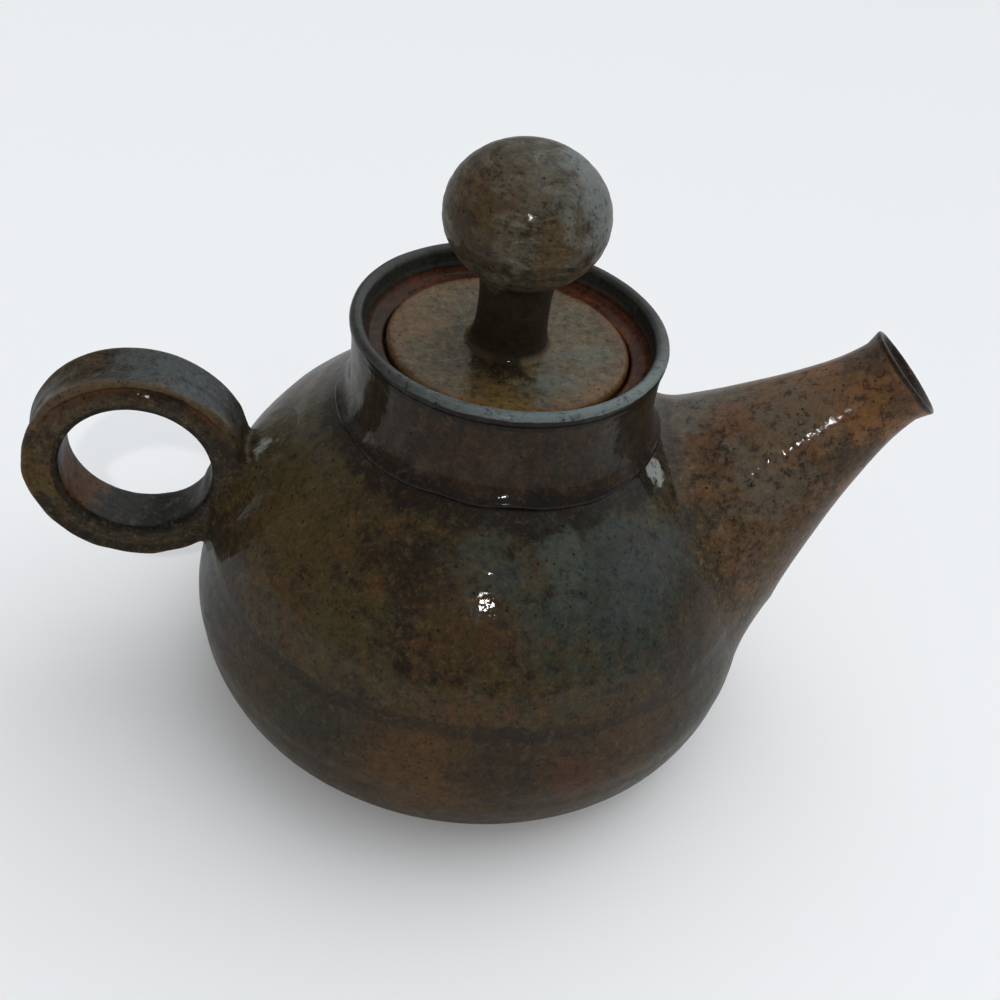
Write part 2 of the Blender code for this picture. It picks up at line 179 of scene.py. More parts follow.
def along_line(line, at):
    """The other number of a line of pairs at a value of its first, or None past its ends."""
    for (start, low), (end, high) in zip(line, line[1:]):
        if start <= at <= end and end > start:
            return low + (high - low) * (at - start) / (end - start)
    return None


def arc(centre, radius, start, end, steps=6):
    """Points of a rounded edge in a section, between two angles in degrees."""
    turns = [math.radians(start + (end - start) * step / steps) for step in range(steps + 1)]
    return [(centre[0] + radius * math.cos(turn), centre[1] + radius * math.sin(turn)) for turn in turns]


def turned(name, section, sides, centre=Vector(), axis=Vector((0, 0, 1)), closed=True):
    """Draws a section of (radius, height) points by extrusion and spins it once round the axis."""
    out = axis.orthogonal().normalized() if abs(axis.z) < 0.5 else Vector((1, 0, 0))
    places = [centre + out * radius + axis * height for radius, height in section]
    bpy.ops.object.select_all(action="DESELECT")
    bpy.ops.mesh.primitive_plane_add(size=MM, location=places[0])
    piece = added(name)
    edit(piece)
    bpy.ops.mesh.merge(type="CENTER")
    for start, end in zip(places, places[1:]):
        bpy.ops.mesh.extrude_vertices_move(TRANSFORM_OT_translate={"value": end - start})
    bpy.ops.mesh.select_all(action="SELECT")
    if closed:
        bpy.ops.mesh.remove_doubles(threshold=DOUBLES)
    bpy.ops.mesh.spin(steps=sides, angle=math.tau, center=centre, axis=axis)
    return close_edit(piece)


def reshape(piece, move):
    """Moves every vertex to where the rule puts it, as a sculptor would, all at once."""
    for vertex in piece.data.vertices:
        vertex.co = move(vertex.co.copy())
    piece.data.update()


clay_drift = bpy.data.textures.new("clay_drift", "CLOUDS")
clay_drift.noise_scale = 45 * MM
clay_dents = bpy.data.textures.new("clay_dents", "CLOUDS")
clay_dents.noise_scale = 9 * MM


def soften(piece, drift=WOBBLE, dents=0.12 * MM):
    """Gives a piece the slow drift and the small dents of hands on wet clay."""
    for texture, strength in ((clay_drift, drift), (clay_dents, dents)):
        apply(piece, "DISPLACE", texture=texture, texture_coords="LOCAL", strength=strength, mid_level=0.5)
    return piece


# %% [markdown]
# ## The bowl
#
# The bowl is thrown from one lump: a low, wide belly, a shoulder that runs up to the neck, and a
# wall about 4 mm thick. Its outline is a smooth line through a few shares of its own height and
# width. The fingers leave shallow rings on the wall, so a faint ripple rides on that line.

# %% Throw the bowl
LOWER_SHARES = ((0.07, 0.42), (0.19, 0.65), (0.43, 0.845), (0.65, 0.945), (1.0, 1.0))
UPPER_SHARES = ((0.22, 0.93), (0.455, 0.81), (0.66, 0.59), (0.835, 0.30), (0.925, 0.135), (1.0, 0.0))
RIPPLE = 0.03 * MM  # height of a throwing ring
RIPPLE_PITCH = 5.2 * MM
RIPPLE_DRIFT = 9 * MM
RIDGE_HEIGHT = 51 * MM  # one ring stands out round the belly
RIDGE = 0.34 * MM
RIDGE_WIDTH = 1.4 * MM


def throwing_rings(height):
    """How far the wall stands out at a height because of the potter's fingers."""
    ripple = RIPPLE * math.sin(math.tau * height / RIPPLE_PITCH + 2 * math.sin(height / RIPPLE_DRIFT))
    ridge = RIDGE * math.exp(-((height - RIDGE_HEIGHT) / RIDGE_WIDTH) ** 2)
    return ripple + ridge


lower = [
    (BASE_RADIUS + (BELLY - BASE_RADIUS) * out, BODY_BASE + (BELLY_HEIGHT - BODY_BASE) * up)
    for up, out in LOWER_SHARES
]
upper = [
    (NECK_FOOT + (BELLY - NECK_FOOT) * out, BELLY_HEIGHT + (SHOULDER - BELLY_HEIGHT) * up)
    for up, out in UPPER_SHARES
]
bare_wall = smooth_line(lower + upper, 9)
wall = [(radius + throwing_rings(height), height) for radius, height in bare_wall]
underside = [
    *offsets(0.0, BODY_BASE, (0.0, -0.3)),
    *offsets(BASE_RADIUS, BODY_BASE, (-1.6, -0.3)),
    *arc((BASE_RADIUS - 0.4 * MM, BODY_BASE + 1.0 * MM), 1.3 * MM, -90, -20, 4),
]


def inset_line(line, distance):
    """The line moved to its left: inwards where it runs upwards."""
    moved = []
    for index, (radius, height) in enumerate(line):
        ahead, behind = line[min(index + 3, len(line) - 1)], line[max(index - 3, 0)]
        run = Vector((ahead[0] - behind[0], ahead[1] - behind[1])).normalized()
        moved.append((radius - run.y * distance, height + run.x * distance))
    return moved


lining = [place for place in inset_line(bare_wall, BODY_WALL) if FLOOR + 2 * MM < place[1] < SHOULDER - MM]
lining = lining[::2]
floor_line = smooth_line([
    (0.0, FLOOR + 0.5 * MM),
    (22 * MM, FLOOR),
    (lining[0][0] - 9 * MM, FLOOR + 0.2 * MM),
    lining[0],
], 8)
mouth = [(NECK_FOOT - BODY_WALL, SHOULDER), (NECK_FOOT, SHOULDER)]
bowl_section = [*floor_line, *lining[1:], *mouth, *reversed(wall), *reversed(underside)]
bowl = turned("bowl", bowl_section, 192)
soften(bowl)
print("bowl", len(bowl.data.polygons), "faces")

# %% [markdown]
# ## The strainer
#
# Behind the spout the potter pierces the wall so that leaves stay in the pot. The holes follow the
# lean of the wall. One cutter holds them all: a middle hole and rings of holes round it.

# %% Pierce the strainer
STRAINER_HEIGHT = 66 * MM
STRAINER_PITCH = 7.6 * MM
HOLE_RADIUS = 1.8 * MM
CUTTER_REACH = 12 * MM


def wall_radius(height):
    """The bowl's or neck's outer radius at a height."""
    line = bowl_rise if height < wall[-1][1] else neck_rise
    return along_line(line, height) or line[0 if height < line[0][0] else -1][1]


def wall_lean(height):
    """How far the wall leans in from upright at a height, in radians."""
    return math.atan2(wall_radius(height - BODY_WALL) - wall_radius(height + BODY_WALL), 2 * BODY_WALL)


def wall_place(turn, height, out=0.0):
    """A place beside the wall: at a turn round the pot, at a height, that far out of the wall."""
    lean = wall_lean(height)
    reach = wall_radius(height) + out * math.cos(lean)
    return Vector((reach * math.cos(turn), reach * math.sin(turn), height + out * math.sin(lean)))


neck_outside = smooth_line([
    *offsets(0.0, 0.0, (42.9, 92.7), (43.9, 93.3), (43.9, 94.2), (43.0, 95.2), (41.6, 97.2), (40.8, 100.0)),
    *offsets(WAIST, 0.0, (0.0, 104.5)),
    *offsets(0.0, 0.0, (40.55, 110.0), (40.75, 113.2), (41.0, 115.4)),
    *offsets(RIM_RADIUS, RIM, (-0.35, -3.6)),
], 6)
bowl_rise = [(height, radius) for radius, height in wall]
neck_rise = [(height, radius) for radius, height in (wall[-1], *neck_outside)]
middle = wall_place(0.0, STRAINER_HEIGHT, -BODY_WALL / 2)
lean = wall_lean(STRAINER_HEIGHT)
up_wall = Vector((-math.sin(lean), 0, math.cos(lean)))
places = [(0.0, 0.0)]
for ring in (1, 2):
    for hole in range(6 * ring):
        turn = math.tau * hole / (6 * ring)
        places.append((ring * STRAINER_PITCH * math.cos(turn), ring * STRAINER_PITCH * math.sin(turn)))
bpy.ops.object.select_all(action="DESELECT")
pins = []
for across, along in places:
    bpy.ops.mesh.primitive_cylinder_add(
        vertices=20,
        radius=HOLE_RADIUS,
        depth=2 * CUTTER_REACH,
        location=middle + Vector((0, across, 0)) + up_wall * along,
        rotation=(0, math.pi / 2 - lean, 0),
    )
    pins.append(bpy.context.object)
for pin in pins:
    pin.select_set(True)
bpy.ops.object.join()
combine(bowl, added("strainer_cutter"), "DIFFERENCE")
print("strainer", len(places), "holes")

# %% [markdown]
# ## The neck and the ledge for the lid
#
# The collar was turned with the bowl and its foot was worked over with slip, which leaves a small
# bead and a crease. The crease is coloured dark, partly as pooled glaze and partly as painted
# shade. The rim is rounded by a wet leather strip. Inside, a stepped ledge takes the lid. Each is
# one section, spun.

# %% Turn the neck
rim_roll = [
    *offsets(RIM_RADIUS, RIM, (-0.3, -3.3), (-0.02, -2.8)),
    *arc((RIM_RADIUS - 1.6 * MM, RIM - 1.75 * MM), 1.7 * MM, 6, 88, 8),
    *arc((BORE + 2.9 * MM, RIM - 1.85 * MM), 1.75 * MM, 92, 176, 8),
]
neck_inside = smooth_line([
    *offsets(BORE, RIM, (0.95, -4.0)),
    *offsets(BORE, 0.0, (0.1, 112.8), (0.0, 104.0), (0.3, 97.0)),
    *offsets(BORE, SHOULDER, (1.6, -0.9)),
], 5)
neck_section = [(42.2 * MM, SHOULDER - 0.9 * MM), *neck_outside, *rim_roll, *neck_inside]
neck_section.append(neck_section[0])
neck = soften(turned("neck", neck_section, 192))
LAP = 0.5 * MM  # how far the worked edge wanders up and down
LAP_REACH = 5 * MM


def lapped(place):
    """The slip at the neck's foot was pressed down by hand, so its edge wanders."""
    turn = math.atan2(place.y, place.x)
    wave = math.sin(5 * turn + 0.6) + 0.7 * math.sin(11 * turn + 2.0) + 0.5 * math.sin(17 * turn)
    near_foot = max(0.0, 1.0 - abs(place.z - SHOULDER) / LAP_REACH)
    outside = math.hypot(place.x, place.y) > WAIST
    place.z -= LAP * wave * near_foot if outside else 0.0
    return place


reshape(neck, lapped)

ledge_section = [
    *offsets(BORE, seat_low.z, (0.9, 0.9)),
    *offsets(HATCH, seat_low.z, (3.0, 0.15)),
    *arc((HATCH + 1.5 * MM, seat_low.z + 1.7 * MM), 1.5 * MM, 270, 180, 5),
    *arc((HATCH + 1.3 * MM, SHELF - 1.3 * MM), 1.3 * MM, 180, 90, 5),
    *offsets(REBATE, SHELF, (-0.8, 0.0), (-0.2, 0.25), (0.0, 0.9)),
    *arc((REBATE + 0.9 * MM, LEDGE - 0.95 * MM), 0.9 * MM, 180, 90, 5),
    *offsets(BORE, LEDGE, (-1.1, 0.1), (-0.3, 0.6), (0.2, 1.7), (0.9, 1.7)),
]
ledge_section.append(ledge_section[0])
ledge = soften(turned("ledge", ledge_section, 192), drift=0.4 * MM, dents=0.1 * MM)
print("neck and ledge", len(neck.data.polygons), len(ledge.data.polygons), "faces")

# %% [markdown]
# ## The foot
#
# The foot is trimmed when the clay is leather hard. The bottom is cut back a little in the middle,
# so the pot stands on a ring, and the turning tool leaves fine rings there.

# %% Trim the foot
FOOT_RADIUS = foot_high.x
FOOT_TOP = foot_high.z
HOLLOW = 0.78  # how many millimetres the bottom is cut back
TOOL_RING = 0.09  # and how high the rings of the tool are on it
tool_rings = [
    (radius * MM, (HOLLOW + TOOL_RING * math.sin(radius * 1.9)) * MM) for radius in range(53)
]
foot_section = [
    *tool_rings,
    *offsets(0.0, 0.0, (54.6, 0.55), (56.2, 0.08), (57.4, 0.0)),
    *offsets(FOOT_RADIUS, 0.0, (-2.2, 0.0)),
    *arc((FOOT_RADIUS - 1.5 * MM, 1.5 * MM), 1.5 * MM, -80, 0, 5),
    *offsets(FOOT_RADIUS, FOOT_TOP, (-0.1, -1.0), (-0.7, -0.2), (-2.2, 0.4)),
    *offsets(0.0, FOOT_TOP, (0.0, 0.4)),
]
foot = turned("turned_base", foot_section, 192, closed=False)
print("foot", len(foot.data.polygons), "faces")

# %% [markdown]
# ## The spout
#
# The spout is thrown as a small cone, cut at a slant and luted to the bowl, and its root is wiped
# until it runs into the wall. No primitive has that shape, but a torus is already a closed tube
# with an inner and an outer wall. Each of its loops becomes one line along the spout: up the
# inside, over the lip, down the outside and out onto the bowl.

# %% Pull the spout
LIP = Vector((109.2, 0, 112.4)) * MM
ROOT = Vector((45.1, 0, 45.1)) * MM
LIP_RADIUS = 13.9 * MM
THROAT = 12.4 * MM
THROAT_DEPTH = 6 * MM
ROOT_RADIUS = 40.2 * MM
SPOUT_WALL = 3.4 * MM
LIP_WALL = 1.9 * MM
SPOUT_SHARES = (
    (0.0, 0.0), (0.10, 0.05), (0.26, 0.20), (0.47, 0.45), (0.62, 0.66), (0.71, 0.81), (0.79, 0.92),
    (0.90, 1.0), (1.0, 0.96),
)
AROUND = 128
INNER_STEPS = 18
LIP_STEPS = 8
OUTER_STEPS = 34
FILLET_STEPS = 16
SINK_STEPS = 2
ALONG = INNER_STEPS + LIP_STEPS + OUTER_STEPS + FILLET_STEPS + SINK_STEPS
OVERRUN = 1.5 * MM  # the inside runs on this far into the bowl's wall
LIP_ROUND = 1.4 * MM  # the straight walls start this far below the lip
LIP_DROP = 1.0 * MM
THINNING = 14 * MM  # the wall has its full thickness this far below the lip
CLIMB = 5.5 * MM  # the wiped clay starts this far up the spout
SPREAD = 4.0 * MM  # and ends this far out on the bowl
MORE_BELOW = 10 * MM  # and both are this much longer under the spout
FILLET_LIFT = 0.35 * MM  # the wiped clay lies this thick at its start
FILLET_SINK = 0.22 * MM  # and goes this far under the bowl's skin at its end

spout_run = (LIP - ROOT).length - THROAT_DEPTH
down_axis = (ROOT - LIP).normalized()
over_axis = Vector((down_axis.z, 0, -down_axis.x))
spout_line = smooth_line([
    (0.0, LIP_RADIUS - 0.3 * MM),
    (THROAT_DEPTH / 2, THROAT + 0.375 * MM),
    *(
        (THROAT_DEPTH + spout_run * down, THROAT + (ROOT_RADIUS - THROAT) * out)
        for down, out in SPOUT_SHARES
    ),
], 8)


def spout_radius(down):
    """The spout's outer radius at a distance below its lip."""
    return along_line(spout_line, down) or spout_line[-1][1]


def spout_place(turn, down, inwards=0.0):
    """A place on the spout: at a turn round its axis, below its lip, and that far inside its skin."""
    side = over_axis * math.cos(turn) + Vector((0, 1, 0)) * math.sin(turn)
    return LIP + down_axis * down + side * (spout_radius(down) - inwards)


def clear_of_wall(place):
    """How far a place is outside the wall, measured level."""
    return math.hypot(place.x, place.y) - wall_radius(place.z)


def onto_wall(place, out=0.0):
    """The place brought level to the wall, and that far out of it."""
    reach = wall_radius(place.z) + out
    scale = reach / math.hypot(place.x, place.y)
    return Vector((place.x * scale, place.y * scale, place.z))


def meets_wall(turn, inwards):
    """How far below the lip a line along the spout reaches the wall."""
    near, far = 20 * MM, (LIP - ROOT).length
    for _ in range(30):
        half = (near + far) / 2
        if clear_of_wall(spout_place(turn, half, inwards)) > 0:
            near = half
        else:
            far = half
    return near


def spout_loop(turn):
    """All places of one line along the spout, from the root inside, over the lip, to the bowl outside."""
    inner_end = meets_wall(turn, SPOUT_WALL)
    outer_end = meets_wall(turn, 0.0)
    contact = spout_place(turn, outer_end)
    side = (over_axis * math.cos(turn) + Vector((0, 1, 0)) * math.sin(turn)).normalized()
    low_side = (1 - math.cos(turn)) / 2
    climb = CLIMB + MORE_BELOW * low_side
    spread = SPREAD + MORE_BELOW * low_side
    places = []
    for step in range(INNER_STEPS):
        share = step / (INNER_STEPS - 1)
        down = inner_end + OVERRUN - (inner_end + OVERRUN - LIP_ROUND) * share
        thin = max(0.0, 1 - down / THINNING)
        places.append(spout_place(turn, down, SPOUT_WALL + (LIP_WALL - SPOUT_WALL) * thin))
    for step in range(LIP_STEPS):
        bend = math.pi * (step + 0.5) / LIP_STEPS
        down, inwards = LIP_DROP * (1 - math.sin(bend)), LIP_WALL / 2 * (1 + math.cos(bend))
        places.append(spout_place(turn, down, inwards))
    top, bottom = LIP_ROUND, outer_end - climb
    for step in range(OUTER_STEPS):
        places.append(spout_place(turn, top + (bottom - top) * step / OUTER_STEPS))
    start = spout_place(turn, bottom)
    end = onto_wall(contact + side * spread)
    for step in range(FILLET_STEPS):
        s = step / (FILLET_STEPS - 1)
        place = start * (1 - s) ** 2 + contact * (2 * s * (1 - s)) + end * s**2
        lift = FILLET_LIFT * (1 - s) - FILLET_SINK * s
        places.append(place if clear_of_wall(place) > lift else onto_wall(place, lift))
    for step in range(SINK_STEPS):
        places.append(onto_wall(end + (contact - end) * 0.3 * step, (-1.2 - 0.8 * step) * MM))
    return places


bpy.ops.object.select_all(action="DESELECT")
bpy.ops.mesh.primitive_torus_add(
    major_segments=AROUND, minor_segments=ALONG, major_radius=30 * MM, minor_radius=10 * MM, location=LIP
)
spout = added("pulled_spout")
for around in range(AROUND):
    for along, place in enumerate(spout_loop(math.tau * around / AROUND)):
        spout.data.vertices[around * ALONG + along].co = place
edit(spout)
close_edit(spout)
soften(spout)


def note_clearance(piece):
    """Writes how far each point is out of the wall, so the bowl's glaze can run on over a joint."""
    layer = piece.data.attributes.new("clearance", "FLOAT", "POINT")
    for vertex, item in zip(piece.data.vertices, layer.data):
        item.value = clear_of_wall(vertex.co)


note_clearance(spout)
print("spout", len(spout.data.polygons), "faces")

# %% [markdown]
# ## The ring handle
#
# The ring is thrown like a napkin ring: its outer face is slightly hollow between two soft beads.
# It is luted to the bowl with a wad of clay that is smoothed over both. The ring is spun, the wad
# is a sphere moulded onto the wall, and a Boolean and a fine voxel remesh make them one skin, which
# is then rubbed smooth where they meet.

# %% Throw the ring and press the wad
HOLE = RING_RADIUS - 10.2 * MM
ring_half = [
    *offsets(RING_RADIUS, 0.0, (-0.75, 0), (-0.7, 2.4), (-0.45, 4.8), (-0.1, 6.4), (-0.1, 7.3), (-0.6, 8.1)),
    *offsets(
        RING_RADIUS, RING_HALF_WIDTH, (-1.4, -0.1), (-2.1, -0.55), (-2.9, -1.5), (-3.8, -1.35), (-5.0, -0.3)
    ),
    *offsets(HOLE, RING_HALF_WIDTH, (2.4, -0.35), (1.5, -0.8), (0.8, -0.75), (0.25, -1.5)),
    *offsets(HOLE, 0.0, (0.05, 5.2), (0.0, 2.4), (0.0, 0.0)),
]
half_line = smooth_line(ring_half, 3)
ring_section = [*half_line, *((radius, -across) for radius, across in reversed(half_line[:-1]))]
ring_section[-1] = ring_section[0]
handle = turned("ring_handle", ring_section, 160, centre=RING_CENTRE, axis=Vector((0, -1, 0)))
FACE = RING_HALF_WIDTH - 0.45 * MM
BEAD_IN = 3 * MM  # the bead wanders from here outwards
BEAD_WANDER = 0.16 * MM
GROOVE_IN = 2.4 * MM  # the groove starts this far outside the hole
GROOVE_DEPTH = 1.7 * MM
RUBBED_BELOW = 0.25  # a share of the ring's radius up from its middle
RUBBED_FADE = 0.5
KEYED = 2.4 * MM  # the ring goes this far into the wall


def worn(place):
    """The bead wanders, and the groove under it is deep over the top and rubbed out lower down."""
    arm = place - RING_CENTRE
    radius = math.hypot(arm.x, arm.z)
    turn = math.atan2(arm.z, arm.x)
    wave = 2 + math.sin(7 * turn + 1) + 0.6 * math.sin(13 * turn) + 0.4 * math.sin(23 * turn)
    outward = max(0.0, (radius - HOLE - BEAD_IN) / (RING_RADIUS - HOLE - BEAD_IN))
    press = BEAD_WANDER * wave * outward if arm.y < 0 else 0.0
    place.x -= arm.x / radius * press
    place.z -= arm.z / radius * press
    in_groove = HOLE + GROOVE_IN < radius < RING_RADIUS - MM
    if in_groove and RING_HALF_WIDTH - GROOVE_DEPTH < abs(arm.y) < FACE:
        keep = min(1.0, max(0.0, (arm.z / radius - RUBBED_BELOW) / RUBBED_FADE))
        place.y += (1 - keep) * (math.copysign(FACE, arm.y) - arm.y)
    return place


reshape(handle, worn)


def trim_to_wall(place):
    """Keeps the ring from poking through into the tea space."""
    return onto_wall(place, -KEYED) if clear_of_wall(place) < -KEYED else place


reshape(handle, trim_to_wall)

CONTACT_HEIGHT = SHOULDER - 34.2 * MM
WAD_HEIGHT = 6.6 * MM
WAD_HALF_WIDTH = 22 * MM
WAD_HALF_LENGTH = 27 * MM
WAD_MIDDLE = CONTACT_HEIGHT + 3.2 * MM
BELL = 0.52  # half width of the mound, as a share of the wad's
BELL_CUT = 0.02  # keeps its rim just under the wall's skin
SKIRT = 0.25 * MM
KEY_START = 0.27 * MM
KEY_DEPTH = 2.0 * MM
VOXEL = 0.55 * MM
RUB_FULL = 9 * MM  # up to here from the wall the joint is rubbed smooth
RUB_FADE = 5 * MM
bpy.ops.object.select_all(action="DESELECT")
bpy.ops.mesh.primitive_uv_sphere_add(segments=72, ring_count=48, radius=1.0)
wad = added("wad")


def moulded(place):
    """A ball pressed onto the wall: a bell-shaped mound outside, a shallow key inside the wall."""
    reach = min(1.0, math.hypot(place.x, place.y))
    if place.z > 0:
        out = WAD_HEIGHT * (math.exp(-((reach / BELL) ** 2)) - BELL_CUT) - SKIRT * reach**4
    else:
        out = -KEY_START - KEY_DEPTH * (1 - reach**2)
    height = WAD_MIDDLE + WAD_HALF_LENGTH * math.cos(wall_lean(WAD_MIDDLE)) * place.y
    turn = math.pi + WAD_HALF_WIDTH * place.x / wall_radius(height)
    return wall_place(turn, height, out)


reshape(wad, moulded)
edit(wad)
close_edit(wad)
combine(handle, wad, "UNION")
apply(handle, "REMESH", mode="VOXEL", voxel_size=VOXEL, use_smooth_shade=True)
crease = handle.vertex_groups.new(name="crease")
for vertex in handle.data.vertices:
    near_wall = clear_of_wall(vertex.co)
    weight = 1.0 - min(1.0, max(0.0, (near_wall - RUB_FULL) / RUB_FADE))
    crease.add([vertex.index], weight, "REPLACE")
apply(handle, "SMOOTH", factor=0.5, iterations=60, vertex_group="crease")
apply(handle, "SMOOTH", factor=0.5, iterations=2)
edit(handle)
close_edit(handle)
soften(handle)
note_clearance(handle)
print("handle", len(handle.data.polygons), "faces")

# %% [markdown]
# ## The lid and its knob
#
# The lid is a thrown disc with rounded edges that drops onto the ledge. The stem flares into the
# disc and carries a ball with faint finger rings. Stem and ball are one turned piece of clay, so
# they share one section. The vent hole is pierced behind the stem.

# %% Throw the lid
PLATE_RADIUS = plate_high.x
PLATE_TOP = plate_high.z
PLATE_BASE = plate_low.z
EDGE_ROUND = 1.4 * MM
plate_section = [
    *offsets(0.0, PLATE_BASE, (0.0, 0.7), (24.0, 0.7), (26.0, 0.35), (27.6, 0.02)),
    *arc((PLATE_RADIUS - EDGE_ROUND, PLATE_BASE + EDGE_ROUND), EDGE_ROUND, -90, 0, 6),
    *arc((PLATE_RADIUS - EDGE_ROUND, PLATE_TOP - EDGE_ROUND), EDGE_ROUND, 0, 90, 7),
    *smooth_line(offsets(
        0.0, PLATE_TOP, (29.0, -0.08), (26.0, -0.2), (22.5, -0.18), (19.5, -0.21), (16.0, -0.1), (0.0, 0.0)
    ), 7),
]
plate = turned("lid_disc", plate_section, 160, closed=False)
VENT = Vector((0, 16.5 * MM, PLATE_TOP))
VENT_RADIUS = 1.5 * MM
bpy.ops.object.select_all(action="DESELECT")
bpy.ops.mesh.primitive_cylinder_add(vertices=24, radius=VENT_RADIUS, depth=30 * MM, location=VENT)
combine(plate, added("vent_cutter"), "DIFFERENCE")
soften(plate, drift=0.3 * MM, dents=0.12 * MM)

BALL_RADIUS = ball_high.x - 0.15 * MM
BALL_SQUASH = 17.8 * MM  # half its height: it is wider than it is high
BALL_MIDDLE = ball_high.z - 0.15 * MM - BALL_SQUASH
BALL_RIPPLE = 0.06 * MM
BALL_START, BALL_TURN, BALL_STEPS = -54, 144, 40  # degrees, from the stem's top to the pole
ball_line = []
for step in range(BALL_STEPS):
    turn = math.radians(BALL_START + BALL_TURN * step / (BALL_STEPS - 1))
    ripple = BALL_RIPPLE * math.sin(step * 2.1) * math.cos(turn)
    across, up = (BALL_RADIUS + ripple) * math.cos(turn), (BALL_SQUASH + ripple) * math.sin(turn)
    ball_line.append((across, BALL_MIDDLE + up))
stem_line = smooth_line(offsets(
    0.0, PLATE_TOP, (12.2, -0.35), (11.5, 0.05), (10.7, 0.7), (10.0, 2.2), (9.5, 5.0), (9.3, 9.0),
    (9.3, 13.5), (9.6, 17.4), (10.4, 20.0)
), 5)
knob_section = [*offsets(0.0, PLATE_TOP, (0.0, -1.0), (11.0, -1.0)), *stem_line, *ball_line]
knob_section[-1] = (0.0, knob_section[-1][1])
knob = soften(turned("knob", knob_section, 128, closed=False), drift=0.4 * MM, dents=0.16 * MM)
print("lid", len(plate.data.polygons), "knob", len(knob.data.polygons), "faces")

# %% [markdown]
# ## What each piece stands for
#
# Every piece rides on its body and hides the construction piece it dresses.

# %% Tie the pieces to the frame
PIECES = (
    (bowl, "pot", ("body_bowl",), "body_glaze"),
    (neck, "pot", ("neck_collar",), "neck_glaze"),
    (ledge, "pot", ("lid_seat",), "seat_glaze"),
    (foot, "pot", ("foot",), "bare_clay"),
    (spout, "pot", ("spout",), "spout_glaze"),
    (handle, "pot", ("handle_ring", "handle_pad"), "handle_glaze"),
    (plate, "lid", ("lid_plate",), "lid_glaze"),
    (knob, "lid", ("knob_stem", "knob_ball"), "knob_glaze"),
)
for piece, body, stands_for, finish in PIECES:
    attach(piece, body)
    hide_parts(*stands_for)
    print(piece.name, "on", body, "faces", len(piece.data.polygons))

# %% [markdown]
# ## Mixing a glaze
#
# The pot wears one iron-rich ash glaze over dark stoneware. Where it lies thin it breaks to ochre
# and rust, where it pools it goes olive, umber or blue-grey, and iron spots and pinholes come
# through it. In nodes that is a few noises of real sizes, washes of colour laid where the real
# pot has them, a few washes of painted shade, sheen and highlight, and a bump for orange peel and
# pinholes. All of it reads Object coordinates, so the pattern runs on from one piece to the next.

# %% One function for every node
def srgb(hex_colour):
    """A written colour as the linear numbers that a shader takes."""
    parts = [int(hex_colour[at:at + 2], 16) / 255 for at in (1, 3, 5)]
    return (*(part / 12.92 if part <= 0.04045 else ((part + 0.055) / 1.055) ** 2.4 for part in parts), 1.0)


def node(tree, kind, links=(), stops=(), **settings):
    """Adds a node with its settings, its colour stops and its inputs, and gives its outputs."""
    made = tree.nodes.new("ShaderNode" + kind)
    for key, value in settings.items():
        setattr(made, key, value)
    for index, (at, colour) in enumerate(stops):
        spot = made.color_ramp.elements[index] if index < 2 else made.color_ramp.elements.new(at)
        spot.position = at
        spot.color = srgb(colour)
    for key, value in dict(links).items():
        if isinstance(value, bpy.types.NodeSocket):
            tree.links.new(value, made.inputs[key])
        else:
            made.inputs[key].default_value = value
    return made.outputs


print("a written grey", [round(part, 3) for part in srgb("#808080")])

# %% [markdown]
# ## A glaze as a recipe
#
# A Glaze object holds the nodes of one material while it is being mixed. Its noises are named for
# what they do: drift is where the glaze ran thin or thick over the whole pot, mottle and curdle
# break it up, hue turns it to rust or moss, grain is the finest speckle, edge frays the borders of
# a wash, and peel is the orange-peel skin. A fired glaze is partly glass and partly matt crystals,
# so the shader is a fairly matt base under a thin, very smooth coat of low weight.

# %% The glaze and its washes
SMOOTH = {"interpolation_type": "SMOOTHSTEP"}
NOISES = {  # size of the patches, detail, roughness, distortion
    "drift": (36 * MM, 4, 0.55, 0.6),
    "mottle": (7.5 * MM, 10, 0.72, 0.35),
    "curdle": (2.9 * MM, 8, 0.78, 0.3),
    "hue": (5.2 * MM, 8, 0.7, 0.5),
    "grain": (1.0 * MM, 4, 0.75, 0.0),
    "edge": (10 * MM, 10, 0.72, 0.6),
    "peel": (1.7 * MM, 1, 0.5, 0.0),
}
FRAY = 13  # a noise strays about a thirteenth from its middle, so this brings its stray to 1


